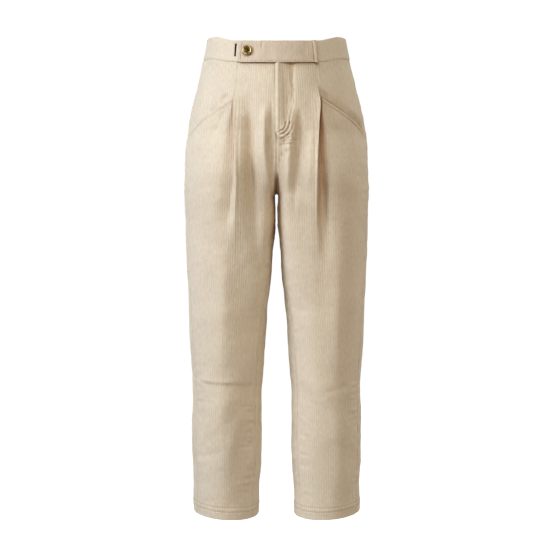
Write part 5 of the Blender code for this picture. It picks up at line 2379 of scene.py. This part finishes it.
@dataclass
class Trousers:
    """The whole garment."""

    nap: Nap

    def build(self) -> None:
        """Builds every piece in the order in which it is sewn."""
        cloth = [CORDUROY.build(self.nap), WRONG_SIDE.build(self.nap)]
        thread = THREAD.build()
        for side in Side:
            front = FrontPanel(Cloth(side, FRONT), cloth, thread)
            front.build()
            BackPanel(Cloth(side, BACK), cloth, thread).build()
            HipPiece(front, cloth).build()
            Waistband(side, cloth).build()
        button = Button(BRASS.build(), DARK_CENTRE.build(), DARK_THREAD.build()).build()
        Tab([SHADED_TAB_CORDUROY.build(self.nap), cloth[1]], thread).build(button)
        BeltLoop(cloth, thread).build()
        BarTack(BLACK_THREAD.build()).build()


class Light(NamedTuple):
    """A soft square light: where it stands, its side in metres, its power in watts and its colour."""

    name: str
    place: Place
    size: float
    power: float
    colour: Colour


@dataclass
class Studio:
    """A pale floor, soft lights and the camera."""

    eye: Place = (0.0, -3.0, -0.1295)
    lens: float = 101.4
    pitch: float = 5.84
    yaw: float = 0.0595
    floor: float = -1.25
    floor_colour: Colour = (0.62, 0.61, 0.6)
    aim: float = -0.42
    spread: float = math.radians(76)
    surround: float = 0.04
    surround_seen: float = 0.98  # how much brighter a camera sees the surround
    lights: tuple[Light, ...] = (
        Light("key", (-2.44, -1.14, 0.64), 1.1, 11.4, (0.95, 0.93, 0.98)),
        Light("front_fill", (-0.46, -2.6, 1.45), 1.6, 6.0, (1.0, 0.85, 0.6)),
        Light("right_fill", (1.86, -2.22, 0.33), 1.6, 4.7, (1.0, 0.7, 0.44)),
        Light("top_fill", (-0.38, -1.03, 1.9), 1.2, 4.3, (0.72, 0.86, 1.0)),
        Light("rim", (2.38, 1.66, 0.3), 1.6, 7.9, (1.0, 0.97, 0.9)),
        Light("back_fill", (-1.0, 2.75, 0.5), 1.6, 5.0, (1.0, 0.97, 0.92)),
    )

    @staticmethod
    def place(data: bpy.types.ID, spot: Place, turn: Sequence[float]) -> Piece:
        """Stands a light or a camera somewhere.

        Args:
            data: The light's or the camera's data.
            spot: Where it stands.
            turn: Its turn, as Euler angles.

        Returns:
            The new object.
        """
        thing = bpy.data.objects.new(data.name, data)
        bpy.context.scene.collection.objects.link(thing)
        thing.location, thing.rotation_euler = spot, turn
        return thing

    def shine(self, light: Light) -> None:
        """Adds a light that points at the garment.

        Args:
            light: The light.
        """
        lamp = bpy.data.lights.new(light.name, "AREA")
        lamp.size, lamp.energy, lamp.color, lamp.spread = light.size, light.power, light.colour, self.spread
        towards = Vector((0, 0, self.aim)) - Vector(light.place)
        self.place(lamp, light.place, towards.to_track_quat("-Z", "Y").to_euler())

    def backdrop(self) -> None:
        """Adds the pale floor, which a camera sees as nearly white."""
        nothing_selected()
        bpy.ops.mesh.primitive_plane_add(size=120, location=(0, 0, self.floor))
        thing = bpy.context.object
        thing.name = "floor"
        material, shader, surface = new_material("pale_floor")
        ray = shader.add("ShaderNodeLightPath").outputs["Is Camera Ray"]
        shader.fill(surface, {
            "Base Color": self.floor_colour, "Roughness": 0.9,
            "Emission Color": (1, 1, 1), "Emission Strength": ray,
        })
        thing.data.materials.append(material)

    def sky(self) -> None:
        """Sets a soft white surround, which a camera sees as white."""
        world = bpy.data.worlds.new("surround")
        bpy.context.scene.world = world
        world.use_nodes = True
        shader = Shader(world.node_tree)
        ray = shader.add("ShaderNodeLightPath").outputs["Is Camera Ray"]
        strength = shader.math("MULTIPLY_ADD", ray, self.surround_seen, self.surround)
        shader.fill(world.node_tree.nodes["Background"], {0: (1, 1, 1), 1: strength})

    def build(self) -> None:
        """Sets up the whole studio."""
        self.backdrop()
        self.sky()
        for light in self.lights:
            self.shine(light)
        camera = bpy.data.cameras.new("camera")
        camera.lens, camera.sensor_width = self.lens, 36
        turn = math.radians(90 - self.pitch), 0, math.radians(self.yaw)
        bpy.context.scene.camera = self.place(camera, self.eye, turn)
        bpy.context.scene.view_settings.view_transform = "Standard"


def main() -> None:
    """Builds the garment and the studio."""
    logging.basicConfig(level=logging.INFO, format="%(message)s")
    Trousers(Nap()).build()
    Studio().build()


if __name__ == "__main__":
    main()
